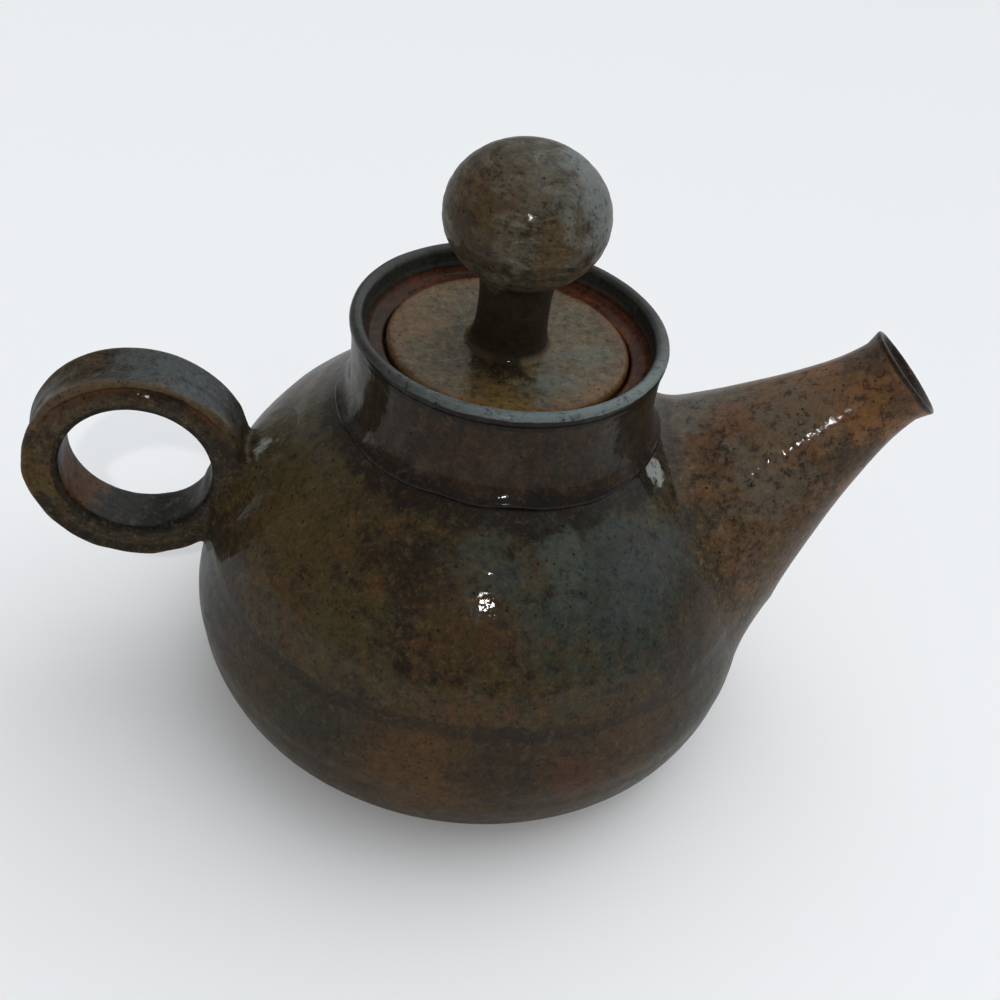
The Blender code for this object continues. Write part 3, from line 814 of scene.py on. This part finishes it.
class Glaze:
    """A glaze on its way: its nodes, what is known of each point, and its colour so far."""

    def __init__(self, title, melt, rust="#543215", moss="#2a3022"):
        self.material = bpy.data.materials.new(title)
        self.material.use_nodes = True
        self.tree = self.material.node_tree
        self.tree.nodes.clear()
        self.place = node(self.tree, "TexCoord")["Object"]
        self.x, self.y, self.z = node(self.tree, "SeparateXYZ", {0: self.place})
        self.noise = {}
        for use, (size, detail, roughness, distortion) in NOISES.items():
            links = {"Vector": self.place, "Scale": 1 / size, "Detail": detail, "Roughness": roughness}
            self.noise[use] = node(self.tree, "TexNoise", {**links, "Distortion": distortion})[0]
        self.fray = node(self.tree, "Math", {0: self.noise["edge"], 1: 0.5}, operation="SUBTRACT")[0]
        self.colour = self.melted(melt)
        self.broken(rust, moss)

    def melted(self, stops):
        """The glaze's own colours, from where it ran thin to where it pooled."""
        depth = node(self.tree, "Mix", {0: 0.5, 2: self.noise["drift"], 3: self.noise["mottle"]})[0]
        depth = node(self.tree, "Mix", {0: 0.4, 2: depth, 3: self.noise["curdle"]})[0]
        return node(self.tree, "ValToRGB", {0: depth}, stops=stops)[0]

    def broken(self, rust, moss):
        """Turns patches of the glaze to rust and to moss."""
        self.where(self.noise["hue"], (rust, 0.4, 0.53, 0.62), (moss, 0.5, 0.47, 0.38))

    def frayed(self, distance, ragged):
        """A distance that strays by so many millimetres, so that a border drawn by it is ragged."""
        links = {0: self.fray, 1: ragged * FRAY * MM, 2: distance}
        return node(self.tree, "Math", links, operation="MULTIPLY_ADD")[0]

    def near(self, middle, reach, ragged=3.0, fade=0.65):
        """1 close to a place in millimetres, fading out over the outer share of its reach."""
        links = {0: self.place, 1: [side * MM for side in middle]}
        gap = self.frayed(node(self.tree, "VectorMath", links, operation="DISTANCE")["Value"], ragged)
        return node(self.tree, "MapRange", {0: gap, 1: reach * MM, 2: reach * (1 - fade) * MM}, **SMOOTH)[0]

    def between(self, low, high, soft=1.0, ragged=0.6, along=None):
        """1 between two places in millimetres, up the pot unless another direction is given."""
        level = self.frayed(along or self.z, ragged)
        above = node(self.tree, "MapRange", {0: level, 1: (low - soft) * MM, 2: low * MM}, **SMOOTH)[0]
        below = node(self.tree, "MapRange", {0: level, 1: (high + soft) * MM, 2: high * MM}, **SMOOTH)[0]
        return node(self.tree, "Math", {0: above, 1: below}, operation="MULTIPLY")[0]

    def from_axis(self, centre=(0, 0, 0), plane=(1, 1, 0)):
        """How far each point is from an axis through the centre, square to the plane."""
        arm = node(self.tree, "VectorMath", {0: self.place, 1: centre}, operation="SUBTRACT")[0]
        flat = node(self.tree, "VectorMath", {0: arm, 1: plane}, operation="MULTIPLY")[0]
        return node(self.tree, "VectorMath", {0: flat}, operation="LENGTH")["Value"]

    def wash(self, colour, strength, *masks):
        """Lays a colour over the glaze at that strength, where all the masks agree."""
        share = strength
        for mask in masks:
            share = node(self.tree, "Math", {0: mask, 1: share}, operation="MULTIPLY")[0]
        links = {0: share, 6: self.colour, 7: srgb(colour)}
        self.colour = node(self.tree, "Mix", links, data_type="RGBA")[2]

    def where(self, value, *rows):
        """Washes where a value runs past a level: colour, strength, where it starts, where it is full."""
        for colour, strength, start, full in rows:
            mask = node(self.tree, "MapRange", {0: value, 1: start, 2: full}, **SMOOTH)[0]
            self.wash(colour, strength, mask)

    def patches(self, *rows):
        """Washes round places: colour, strength, middle, reach, and how ragged and how faded."""
        for colour, strength, *place in rows:
            self.wash(colour, strength, self.near(*place))

    def over_joint(self, under):
        """Lets the bowl's glaze run out over the first millimetres of a piece luted to it."""
        out = self.frayed(node(self.tree, "Attribute", attribute_name="clearance")["Fac"], 0.9)
        mask = node(self.tree, "MapRange", {0: out, 1: 0.4 * MM, 2: 6.5 * MM}, **SMOOTH)[0]
        self.colour = node(self.tree, "Mix", {0: mask, 6: under, 7: self.colour}, data_type="RGBA")[2]

    def specks(self, size, share, reach):
        """Round spots, one in some of the cells of that size."""
        cells = node(self.tree, "TexVoronoi", {"Vector": self.place, "Scale": 1 / size})
        chosen = node(self.tree, "SeparateColor", {0: cells["Color"]})[0]
        chosen = node(self.tree, "Math", {0: chosen, 1: share}, operation="LESS_THAN")[0]
        links = {0: self.noise["grain"], 1: reach, 2: reach * 0.4}
        wide = node(self.tree, "Math", links, operation="MULTIPLY_ADD")[0]
        inside = node(self.tree, "Math", {0: wide, 1: cells["Distance"]}, operation="SUBTRACT")[0]
        inside = node(self.tree, "MapRange", {0: inside, 1: 0.0, 2: reach * 0.35}, **SMOOTH)[0]
        return node(self.tree, "Math", {0: chosen, 1: inside}, operation="MULTIPLY")[0]

    def curdled(self, spots="#120d08", flecks="#605136"):
        """Breaks the colour into light flecks and dark spots of two sizes."""
        self.where(self.noise["curdle"], (flecks, 0.32, 0.53, 0.66), (spots, 0.6, 0.485, 0.37))
        self.where(self.noise["grain"], (flecks, 0.4, 0.55, 0.72), (spots, 0.66, 0.46, 0.30))

    def fire(self, matt=(0.4, 0.6), glass=0.24, peel=0.07 * MM, spots="#120d08"):
        """Adds iron spots and pinholes, and closes the glaze with its shader and bump."""
        tree = self.tree
        pits = self.specks(4.2 * MM, 0.3, 0.13)
        self.wash(spots, 0.7, self.specks(2.3 * MM, 0.35, 0.25))
        self.wash("#0b0806", 0.9, pits)
        dull = {"Value": self.noise["mottle"], 1: 0.35, 2: 0.65, 3: matt[0], 4: matt[1]}
        dull = node(tree, "MapRange", dull)[0]
        bump = node(tree, "Bump", {"Distance": peel, "Height": self.noise["peel"]})[0]
        bump = node(tree, "Bump", {"Distance": peel / 8, "Height": self.noise["grain"], "Normal": bump})[0]
        bump = node(tree, "Bump", {"Distance": 0.1 * MM, "Height": pits, "Normal": bump}, invert=True)[0]
        shader = node(tree, "BsdfPrincipled", {
            "Base Color": self.colour, "Roughness": dull, "Normal": bump, "Specular IOR Level": 0.06,
            "Coat Weight": glass, "Coat Roughness": 0.05, "Coat IOR": 1.5, "Coat Normal": bump,
        })[0]
        node(tree, "OutputMaterial", {0: shader})
        return self.material


def dress(piece, material):
    """Gives a piece its one material."""
    piece.data.materials.clear()
    piece.data.materials.append(material)
    print(piece.name, "wears", material.name)


MELT = (
    (0.38, "#120c07"), (0.44, "#23190d"), (0.49, "#322612"), (0.54, "#3d2f15"), (0.59, "#3b331b"),
    (0.64, "#343524"),
)
print("glaze stops", len(MELT))

# %% [markdown]
# ## The glaze on the bowl
#
# Above the belly's ridge the glaze is ochre and umber with a blue-grey cloud to the right of the
# front. Below the ridge it is thinner and redder. A dark line lies under the ridge and in the
# crease at the neck, partly pooled glaze and partly painted shade. The belly's left flank is
# darkened with painted shade, and a painted highlight sits at the collar's right foot.

# %% Glaze the bowl
def pour(glaze):
    """What the poured glaze does on the bowl and on the joints it ran over, with some painted shade and a
    painted highlight.
    """
    glaze.patches(
        ("#413a27", 0.75, (-48, -8, 84), 32, 4),
        ("#453416", 0.6, (-50, -36, 74), 24, 4),
        ("#463116", 0.55, (-10, -62, 70), 19, 4),
        ("#3f3a20", 0.5, (-36, -58, 62), 18, 4),
        ("#191109", 0.6, (-23, -53, 79), 10, 4),
        ("#2f3630", 0.88, (29, -52, 76), 39, 6, 0.75),
        ("#40473f", 0.7, (13, -51, 84), 12, 3),
        ("#353c3c", 0.55, (34, -49, 78), 17, 4),
        ("#333a34", 0.6, (-3, -54, 85), 13, 4),
        ("#302418", 0.6, (54, -50, 60), 20, 5),
        ("#1c160f", 0.6, (47, -56, 56), 10, 6),
    )
    glaze.wash("#2d2211", 0.6, glaze.between(0, 47, 5, 1.6))
    glaze.patches(
        ("#513715", 0.7, (-20, -77, 32), 27, 6, 0.85),
        ("#463018", 0.55, (36, -68, 43), 19, 6, 0.9),
        ("#21241a", 0.65, (-44, -66, 38), 20, 6, 0.85),
        ("#242820", 0.6, (64, -50, 34), 26, 5),
        # Painted shade: this patch darkens the belly's left flank.
        ("#141410", 0.8, (-77, -22, 42), 26, 5, 0.9),
        ("#241c13", 0.6, (2, -80, 36), 13, 5),
        ("#4a2813", 0.5, (24, -77, 30), 14, 5),
    )
    # A dark line under the belly's ridge: partly pooled glaze, partly painted shade on the ridge's
    # underside.
    glaze.wash("#120d09", 0.5, glaze.between(46.4, 49.0, 1.6, 0.45))
    glaze.wash("#46290f", 0.6, glaze.between(0, 8, 4, 0.9))
    # The dark crease at the neck's foot, darkest on the right: partly pooled glaze, partly painted shade.
    glaze.wash("#140e0a", 0.75, glaze.between(90.2, 100, 2.6, 0.9))
    glaze.wash("#0c0907", 0.75, glaze.near((34, -28, 92), 8, 3))
    for middle, reach in (((39.2, -21, 91.6), 3.8), ((-63.4, -2.6, 76.6), 4.2)):  # a painted highlight at the collar's right foot, and a white fleck at the handle's joint
        glaze.wash("#949a94", 0.78, glaze.near(middle, reach, 2.4))


def bowl_glaze():
    """Iron ash glaze, poured: thick and cool where it pooled, thin and rusty below the belly."""
    glaze = Glaze("poured_iron_ash_glaze", MELT)
    pour(glaze)
    glaze.curdled()
    return glaze.fire()


dress(bowl, bowl_glaze())

# %% [markdown]
# ## The glaze on the neck and the ledge
#
# The neck is browner, with a mauve cast. Its rim is grey on top, with a pale blue-grey sheen
# painted towards the front and right, and a dark line of painted shade under its roll. The inside
# goes from grey at the top to bare orange clay at the ledge, where the lid was fired in its place.

# %% Glaze the neck and the ledge
def neck_glaze():
    """The same glaze on an upright wall: thinner and browner, with a pale sheen painted on the rim."""
    glaze = Glaze("neck_iron_glaze_with_painted_rim_sheen", (
        (0.38, "#0f0b05"), (0.44, "#1a1208"), (0.50, "#251a0d"), (0.56, "#2d1f0f"), (0.62, "#2a2416"),
    ), rust="#412812", moss="#222217")
    glaze.patches(
        ("#22211a", 0.7, (-38, -14, 106), 20, 5),
        ("#352010", 0.5, (-8, -40, 102), 15, 4),
    )
    upright = node(glaze.tree, "Mapping", {0: glaze.place, 3: (1, 1, 0.35)})[0]
    links = {"Vector": upright, "Scale": 1 / (5 * MM), "Detail": 7, "Roughness": 0.7, "Distortion": 0.5}
    runs = node(glaze.tree, "TexNoise", links)[0]
    glaze.where(runs, ("#40362a", 0.42, 0.52, 0.62), ("#130e09", 0.6, 0.48, 0.38))
    glaze.patches(
        ("#231d18", 0.7, (36, -20, 98), 10, 4),
        ("#2c2c26", 0.6, (26, -30, 103), 13, 4),
    )
    # The dark foot of the neck in its crease: partly pooled glaze, partly painted shade.
    glaze.wash("#100b08", 0.85, glaze.between(80, 94.8, 2.2, 0.9))
    glaze.patches(
        ("#6d6f66", 0.5, (-34, -22.5, 96.5), 3.4, 1.2),
        ("#55564c", 0.55, (-39.5, -9, 103), 8, 2.5),
    )
    # Painted shade: a dark line under the rim's roll.
    glaze.wash("#0f0c0a", 0.9, glaze.between(115.4, 118.3, 0.6, 0.15))
    inside = node(glaze.tree, "MapRange", {0: glaze.from_axis(), 1: 39.6 * MM, 2: 38.6 * MM}, **SMOOTH)[0]
    glaze.wash("#2b2d29", 0.9, inside)
    glaze.wash("#3a1d0e", 0.85, inside, glaze.between(90, 113.6, 2.0, 0.8))
    top = glaze.between(118.6, 130, 0.4, 0.12)
    glaze.wash("#2f312e", 0.9, top)
    # Painted sheen: the rim's top is paler towards the front and right.
    glaze.wash("#66716f", 0.9, top, glaze.near((16, -38, 118), 58, 3, 0.75))
    glaze.curdled(flecks="#57452f")
    return glaze.fire()


def ledge_glaze():
    """Bare toasted clay with a thin flash of glaze: orange, and matt where the lid rests."""
    glaze = Glaze("toasted_clay_ledge", (
        (0.38, "#221209"), (0.46, "#381c0e"), (0.54, "#4a2511"), (0.62, "#36291b"),
    ), rust="#6a3416", moss="#26211a")
    glaze.wash("#1c120d", 0.8, glaze.between(0, 111.0, 0.8, 0.2))
    glaze.wash("#2a2822", 0.6, glaze.near((-34, 0, 113), 30, 3))
    glaze.curdled(flecks="#6e4526")
    return glaze.fire((0.55, 0.75), 0.12)


dress(neck, neck_glaze())
dress(ledge, ledge_glaze())

# %% [markdown]
# ## The glaze on the spout
#
# The spout is rusty towards its tip, because glaze drains off it while it dries, and grey-brown at
# its root. The bowl's glaze runs out over the wiped joint, which the clearance attribute finds.

# %% Glaze the spout
def spout_glaze():
    """Drained glaze: grey-brown and thick at the root, thin and rusty towards the lip."""
    glaze = Glaze("drained_rust_glaze", MELT)
    pour(glaze)
    under = glaze.colour
    glaze.colour = glaze.melted((
        (0.38, "#1c150c"), (0.44, "#372a1b"), (0.50, "#4e3c28"), (0.56, "#59442d"), (0.62, "#564c3c"),
    ))
    glaze.broken("#6a3c1a", "#35352a")
    along = node(glaze.tree, "VectorMath", {0: glaze.place, 1: -down_axis}, operation="DOT_PRODUCT")["Value"]
    glaze.where(glaze.frayed(along, 3), ("#7a563a", 0.6, 104 * MM, 150 * MM))
    glaze.patches(
        ("#6b461d", 0.55, (99, -12, 106), 17, 7),
        ("#2f2010", 0.65, (96, -14, 95), 10, 7),
        ("#5c5244", 0.65, (80, -8, 100), 16, 6),
        ("#413a33", 0.65, (97, 1, 117), 11, 4),
        ("#2b2113", 0.5, (88, -21, 86), 14, 7),
        ("#452f12", 0.55, (84, -24, 72), 24, 6),
        ("#57554b", 0.8, (54, 5, 92), 18, 5),
        ("#6c4226", 0.6, (62, -4, 94), 8, 3),
        ("#3f4238", 0.6, (52, -32, 78), 15, 5),
        ("#2c2018", 0.6, (68, -42, 52), 20, 6),
        ("#5a5448", 0.6, (72, -18, 86), 14, 5),
        ("#231a14", 0.5, (104, -14, 110), 7, 3),
    )
    glaze.where(along, ("#120e0b", 0.9, 154.8 * MM, 155.8 * MM))
    # Painted shade: the inside of the spout's mouth is darkened.
    arm = node(glaze.tree, "VectorMath", {0: glaze.place, 1: LIP}, operation="SUBTRACT")[0]
    arm = node(glaze.tree, "VectorMath", {0: arm, 1: down_axis}, operation="CROSS_PRODUCT")[0]
    across = node(glaze.tree, "VectorMath", {0: arm}, operation="LENGTH")["Value"]
    glaze.where(across, ("#15100c", 0.85, 12.4 * MM, 11.8 * MM))
    glaze.where(glaze.noise["curdle"], ("#2a1d11", 0.28, 0.50, 0.40))
    glaze.over_joint(under)
    glaze.curdled(flecks="#836643")
    return glaze.fire(peel=0.11 * MM)


dress(spout, spout_glaze())

# %% [markdown]
# ## The glaze on the handle and the foot
#
# The ring is cool on top, partly its glaze and partly a painted sheen, with an ochre groove on its
# face and painted shade in the recess at the hole's edge. Its patterns follow the distance from the
# ring's own axis. The foot is left bare, as a potter wipes it so that it won't stick.

# %% Glaze the ring and leave the foot bare
def handle_glaze():
    """Cool, thick glaze outside the ring with a painted sheen on top, ochre in its face's groove, painted
    shade at the hole's edge, dark at the joint.
    """
    glaze = Glaze("ring_ash_glaze", MELT)
    pour(glaze)
    under = glaze.colour
    glaze.colour = glaze.melted((
        (0.38, "#120f0a"), (0.44, "#231d13"), (0.50, "#342b1c"), (0.56, "#403520"), (0.62, "#3d3c2f"),
    ))
    glaze.broken("#4f3218", "#2a2e24")
    radius = glaze.from_axis(RING_CENTRE, (1, 0, 1))
    side = node(glaze.tree, "Math", {0: glaze.y}, operation="ABSOLUTE")[0]
    reaches = ((side, 6.2, 7.4), (side, 8.2, 6.4), (glaze.z, 74, 92), (radius, 21.2, 20.4))
    face, outer, above, inner = (
        node(glaze.tree, "MapRange", {0: value, 1: start * MM, 2: full * MM}, **SMOOTH)[0]
        for value, start, full in reaches
    )
    below = node(glaze.tree, "MapRange", {0: above, 1: 0.5, 2: 0.0}, **SMOOTH)[0]
    groove = glaze.between(25.9, 28.0, 0.6, 0.3, radius)
    bead = glaze.between(28.4, 32.0, 0.5, 0.3, radius)
    # A pale blue-grey wash on the ring's top: partly the glaze's cool tone, partly painted sheen.
    glaze.wash("#3f484b", 0.85, outer, glaze.near((-84, 2, 96), 30, 6, 1.0))
    glaze.wash("#5a4a34", 0.65, bead, face, above)
    glaze.wash("#4a270d", 0.85, groove, face, above)
    glaze.wash("#1a0f08", 0.8, groove, face, glaze.near((-88, -8, 96), 9, 3))
    glaze.wash("#1a140c", 0.55, groove, face, below)
    glaze.patches(
        ("#554019", 0.6, (-121, -8, 66), 12, 4),
        ("#4d3d2c", 0.45, (-110, -9, 90), 14, 4),
    )
    glaze.wash("#1b2020", 0.8, inner)
    glaze.wash("#573820", 0.75, inner, glaze.near((-114, 0, 60), 16, 4))
    # Painted shade: a dark ring on the face, in the recess at the hole's edge.
    glaze.wash("#0d0a08", 0.75, face, glaze.between(20.2, 21.7, 0.6, 0.25, radius))
    glaze.wash("#261f19", 0.7, glaze.near((-70, -9, 68), 16, 4))
    glaze.over_joint(under)
    glaze.curdled(flecks="#706148")
    return glaze.fire((0.46, 0.66), 0.13, 0.12 * MM)


def bare_clay():
    """Unglazed stoneware, trimmed: matt, reddish brown, with fine grog."""
    glaze = Glaze("bare_trimmed_stoneware", (
        (0.36, "#3b271b"), (0.46, "#4d3424"), (0.54, "#5a3d2a"), (0.64, "#634632"),
    ), rust="#6a4228", moss="#4a3a2c")
    glaze.curdled("#2a1c14")
    return glaze.fire((0.75, 0.9), 0.0, 0.12 * MM, "#2a1c14")


dress(handle, handle_glaze())
dress(foot, bare_clay())

# %% [markdown]
# ## The glaze on the lid
#
# The lid was fired lying flat, so its glaze pooled evenly and went beige, with a toasted edge. The
# ball is grey-beige with the streaks of the throwing under it, and the stem is dark. The lid's own
# glaze runs a little way up the stem, so the joint between the two pieces doesn't show.

# %% Glaze the lid and the knob
LID_MELT = (
    (0.38, "#231c10"), (0.44, "#3b3120"), (0.50, "#4e432c"), (0.56, "#5a4f36"), (0.62, "#54533f"),
)
LID_RUST = "#69481f"
LID_MOSS = "#444739"


def settle(glaze):
    """What the glaze does where it lies flat round the stem."""
    glaze.patches(
        ("#505449", 0.7, (8, -17, 114), 12, 4),
        ("#4c3a1e", 0.8, (-5, -19, 114), 10, 4),
        ("#62521f", 0.5, (-2, -27, 114), 8, 3),
        ("#1d160e", 0.75, (-5, -6, 114), 14, 3, 0.5),
        ("#1a130b", 0.6, (0, -15, 114), 7, 3),
        ("#5b5c50", 0.5, (20, -4, 114), 9, 4),
    )


def lid_glaze():
    """Ash glaze lying flat: beige and grey-green, with an orange edge and a rusty blotch."""
    glaze = Glaze("flat_ash_glaze", LID_MELT, LID_RUST, LID_MOSS)
    glaze.where(glaze.frayed(glaze.from_axis(), 1.2), ("#624528", 0.7, 26.0 * MM, 31.5 * MM))
    glaze.patches(
        ("#6c5233", 0.5, (-24, 6, 114), 13, 3),
        ("#6d5030", 0.5, (20, -20, 114), 9, 4),
    )
    settle(glaze)
    glaze.wash("#3a2114", 0.9, glaze.between(100, 111.6, 0.6, 0.2))
    glaze.curdled("#1d160e", "#827456")
    return glaze.fire((0.45, 0.65), 0.18, 0.1 * MM, "#1d160e")


def knob_glaze():
    """A ball that was wiped while it turned: streaks of grey and beige over brown, a dark stem."""
    glaze = Glaze("streaked_ash_glaze", LID_MELT, LID_RUST, LID_MOSS)
    settle(glaze)
    under = glaze.colour
    glaze.colour = glaze.melted((
        (0.38, "#1d170e"), (0.44, "#332b1e"), (0.50, "#463e2f"), (0.56, "#514a3a"), (0.62, "#535145"),
    ))
    glaze.broken("#543a18", "#383a2d")
    wheel = node(glaze.tree, "Mapping", {0: glaze.place, 3: (0.3, 0.3, 1.2)})[0]
    links = {"Vector": wheel, "Scale": 1 / (2.6 * MM), "Detail": 9, "Roughness": 0.78, "Distortion": 0.4}
    streaks = node(glaze.tree, "TexNoise", links)[0]
    glaze.where(streaks, ("#1f1810", 0.8, 0.49, 0.38), ("#6d6a5d", 0.6, 0.52, 0.64))
    # The second and third patches are painted shade on the ball's lower side; the last is a pale blue-grey
    # sheen painted on its upper right.
    glaze.patches(
        ("#4a3110", 0.55, (-14, -13, 157), 13, 3),
        ("#25221a", 0.55, (-12, -14, 146), 13, 4),
        ("#342d21", 0.35, (2, -16, 143), 12, 4),
        ("#523812", 0.45, (5, -20, 152), 9, 3),
        ("#6d7675", 0.6, (15, -4, 161), 17, 4),
    )
    glaze.curdled("#17110b", "#5a5444")
    glaze.wash("#201912", 0.86, glaze.between(100, 133.0, 4, 1.8))
    links = {0: glaze.z, 1: PLATE_TOP + 0.6 * MM, 2: PLATE_TOP + 2.4 * MM}
    stem = node(glaze.tree, "MapRange", links, **SMOOTH)[0]
    glaze.colour = node(glaze.tree, "Mix", {0: stem, 6: under, 7: glaze.colour}, data_type="RGBA")[2]
    return glaze.fire((0.5, 0.7), 0.18, 0.12 * MM, "#17110b")


dress(plate, lid_glaze())
dress(knob, knob_glaze())

# %% [markdown]
# ## The studio
#
# The pot stands on a pale floor. A small lamp near the camera gives the glaze its glints. The sky
# of the studio is soft all round, with a cool glow behind to the right, as from a window with a
# blind, which gives the sheen on what faces up and that way.

# %% Set the floor, the light and the camera
def paper():
    """A matt paper floor: it only has to be pale and take a soft shadow."""
    material = bpy.data.materials.new("matt_paper")
    material.use_nodes = True
    shader = material.node_tree.nodes["Principled BSDF"]
    shader.inputs["Base Color"].default_value = srgb("#f8f8f7")
    shader.inputs["Roughness"].default_value = 0.95
    shader.inputs["Specular IOR Level"].default_value = 0.1
    return material


def toward(azimuth, elevation):
    """A direction seen from the pot; azimuth 0 is in front of it, and grows to the right."""
    turn, rise = math.radians(azimuth), math.radians(elevation)
    return Vector((math.sin(turn) * math.cos(rise), -math.cos(turn) * math.cos(rise), math.sin(rise)))


bpy.ops.object.select_all(action="DESELECT")
bpy.ops.mesh.primitive_plane_add(size=16.0)
floor = bpy.context.object
floor.name = "floor"
floor.data.materials.append(paper())

scene = bpy.context.scene
scene.view_settings.view_transform = "Standard"
scene.world = bpy.data.worlds.new("studio")
scene.world.use_nodes = True
sky = scene.world.node_tree
sky.nodes.clear()
WINDOW_SIDE = toward(135, 48)
SKY_DIM, SKY_BRIGHT = 0.44, 2.1
aim = node(sky, "TexCoord")["Generated"]
glow = node(sky, "VectorMath", {0: aim, 1: WINDOW_SIDE}, operation="DOT_PRODUCT")["Value"]
glow = node(sky, "MapRange", {0: glow, 1: 0.5, 2: 1.0, 3: SKY_DIM, 4: SKY_BRIGHT}, **SMOOTH)[0]
light = node(sky, "Background", {"Color": srgb("#eef1f5"), "Strength": glow})[0]
node(sky, "OutputWorld", {0: light})

AIM = Vector((0, 0, 60 * MM))
LAMP_SIDE = toward(-2, 43)
LAMP_AWAY = 1.4
LAMP_SIZE = 35 * MM
LAMP_WATTS = 3.2
glint = bpy.data.lights.new("glint_lamp", "AREA")
glint.size = LAMP_SIZE
glint.energy = LAMP_WATTS
lamp = bpy.data.objects.new("glint_lamp", glint)
lamp.location = AIM + LAMP_SIDE * LAMP_AWAY
lamp.rotation_euler = LAMP_SIDE.to_track_quat("Z", "Y").to_euler()
scene.collection.objects.link(lamp)

CAMERA_PLACE = Vector((-43.88, -294.42, 306.83)) * MM
CAMERA_RIGHT = Vector((0.99083487, -0.06095133, 0.12054542))
CAMERA_UP = Vector((-0.05265885, 0.64751042, 0.76023503))
camera_data = bpy.data.cameras.new("camera")
camera_data.sensor_width = 36
camera_data.lens = 48.84
camera_data.clip_start = 0.01
camera = bpy.data.objects.new("camera", camera_data)
scene.collection.objects.link(camera)
axes = Matrix((CAMERA_RIGHT, CAMERA_UP, CAMERA_RIGHT.cross(CAMERA_UP)))
camera.matrix_world = Matrix.Translation(CAMERA_PLACE) @ axes.transposed().to_4x4()
scene.camera = camera
print("camera", round((CAMERA_PLACE - AIM).length / MM), "mm away")
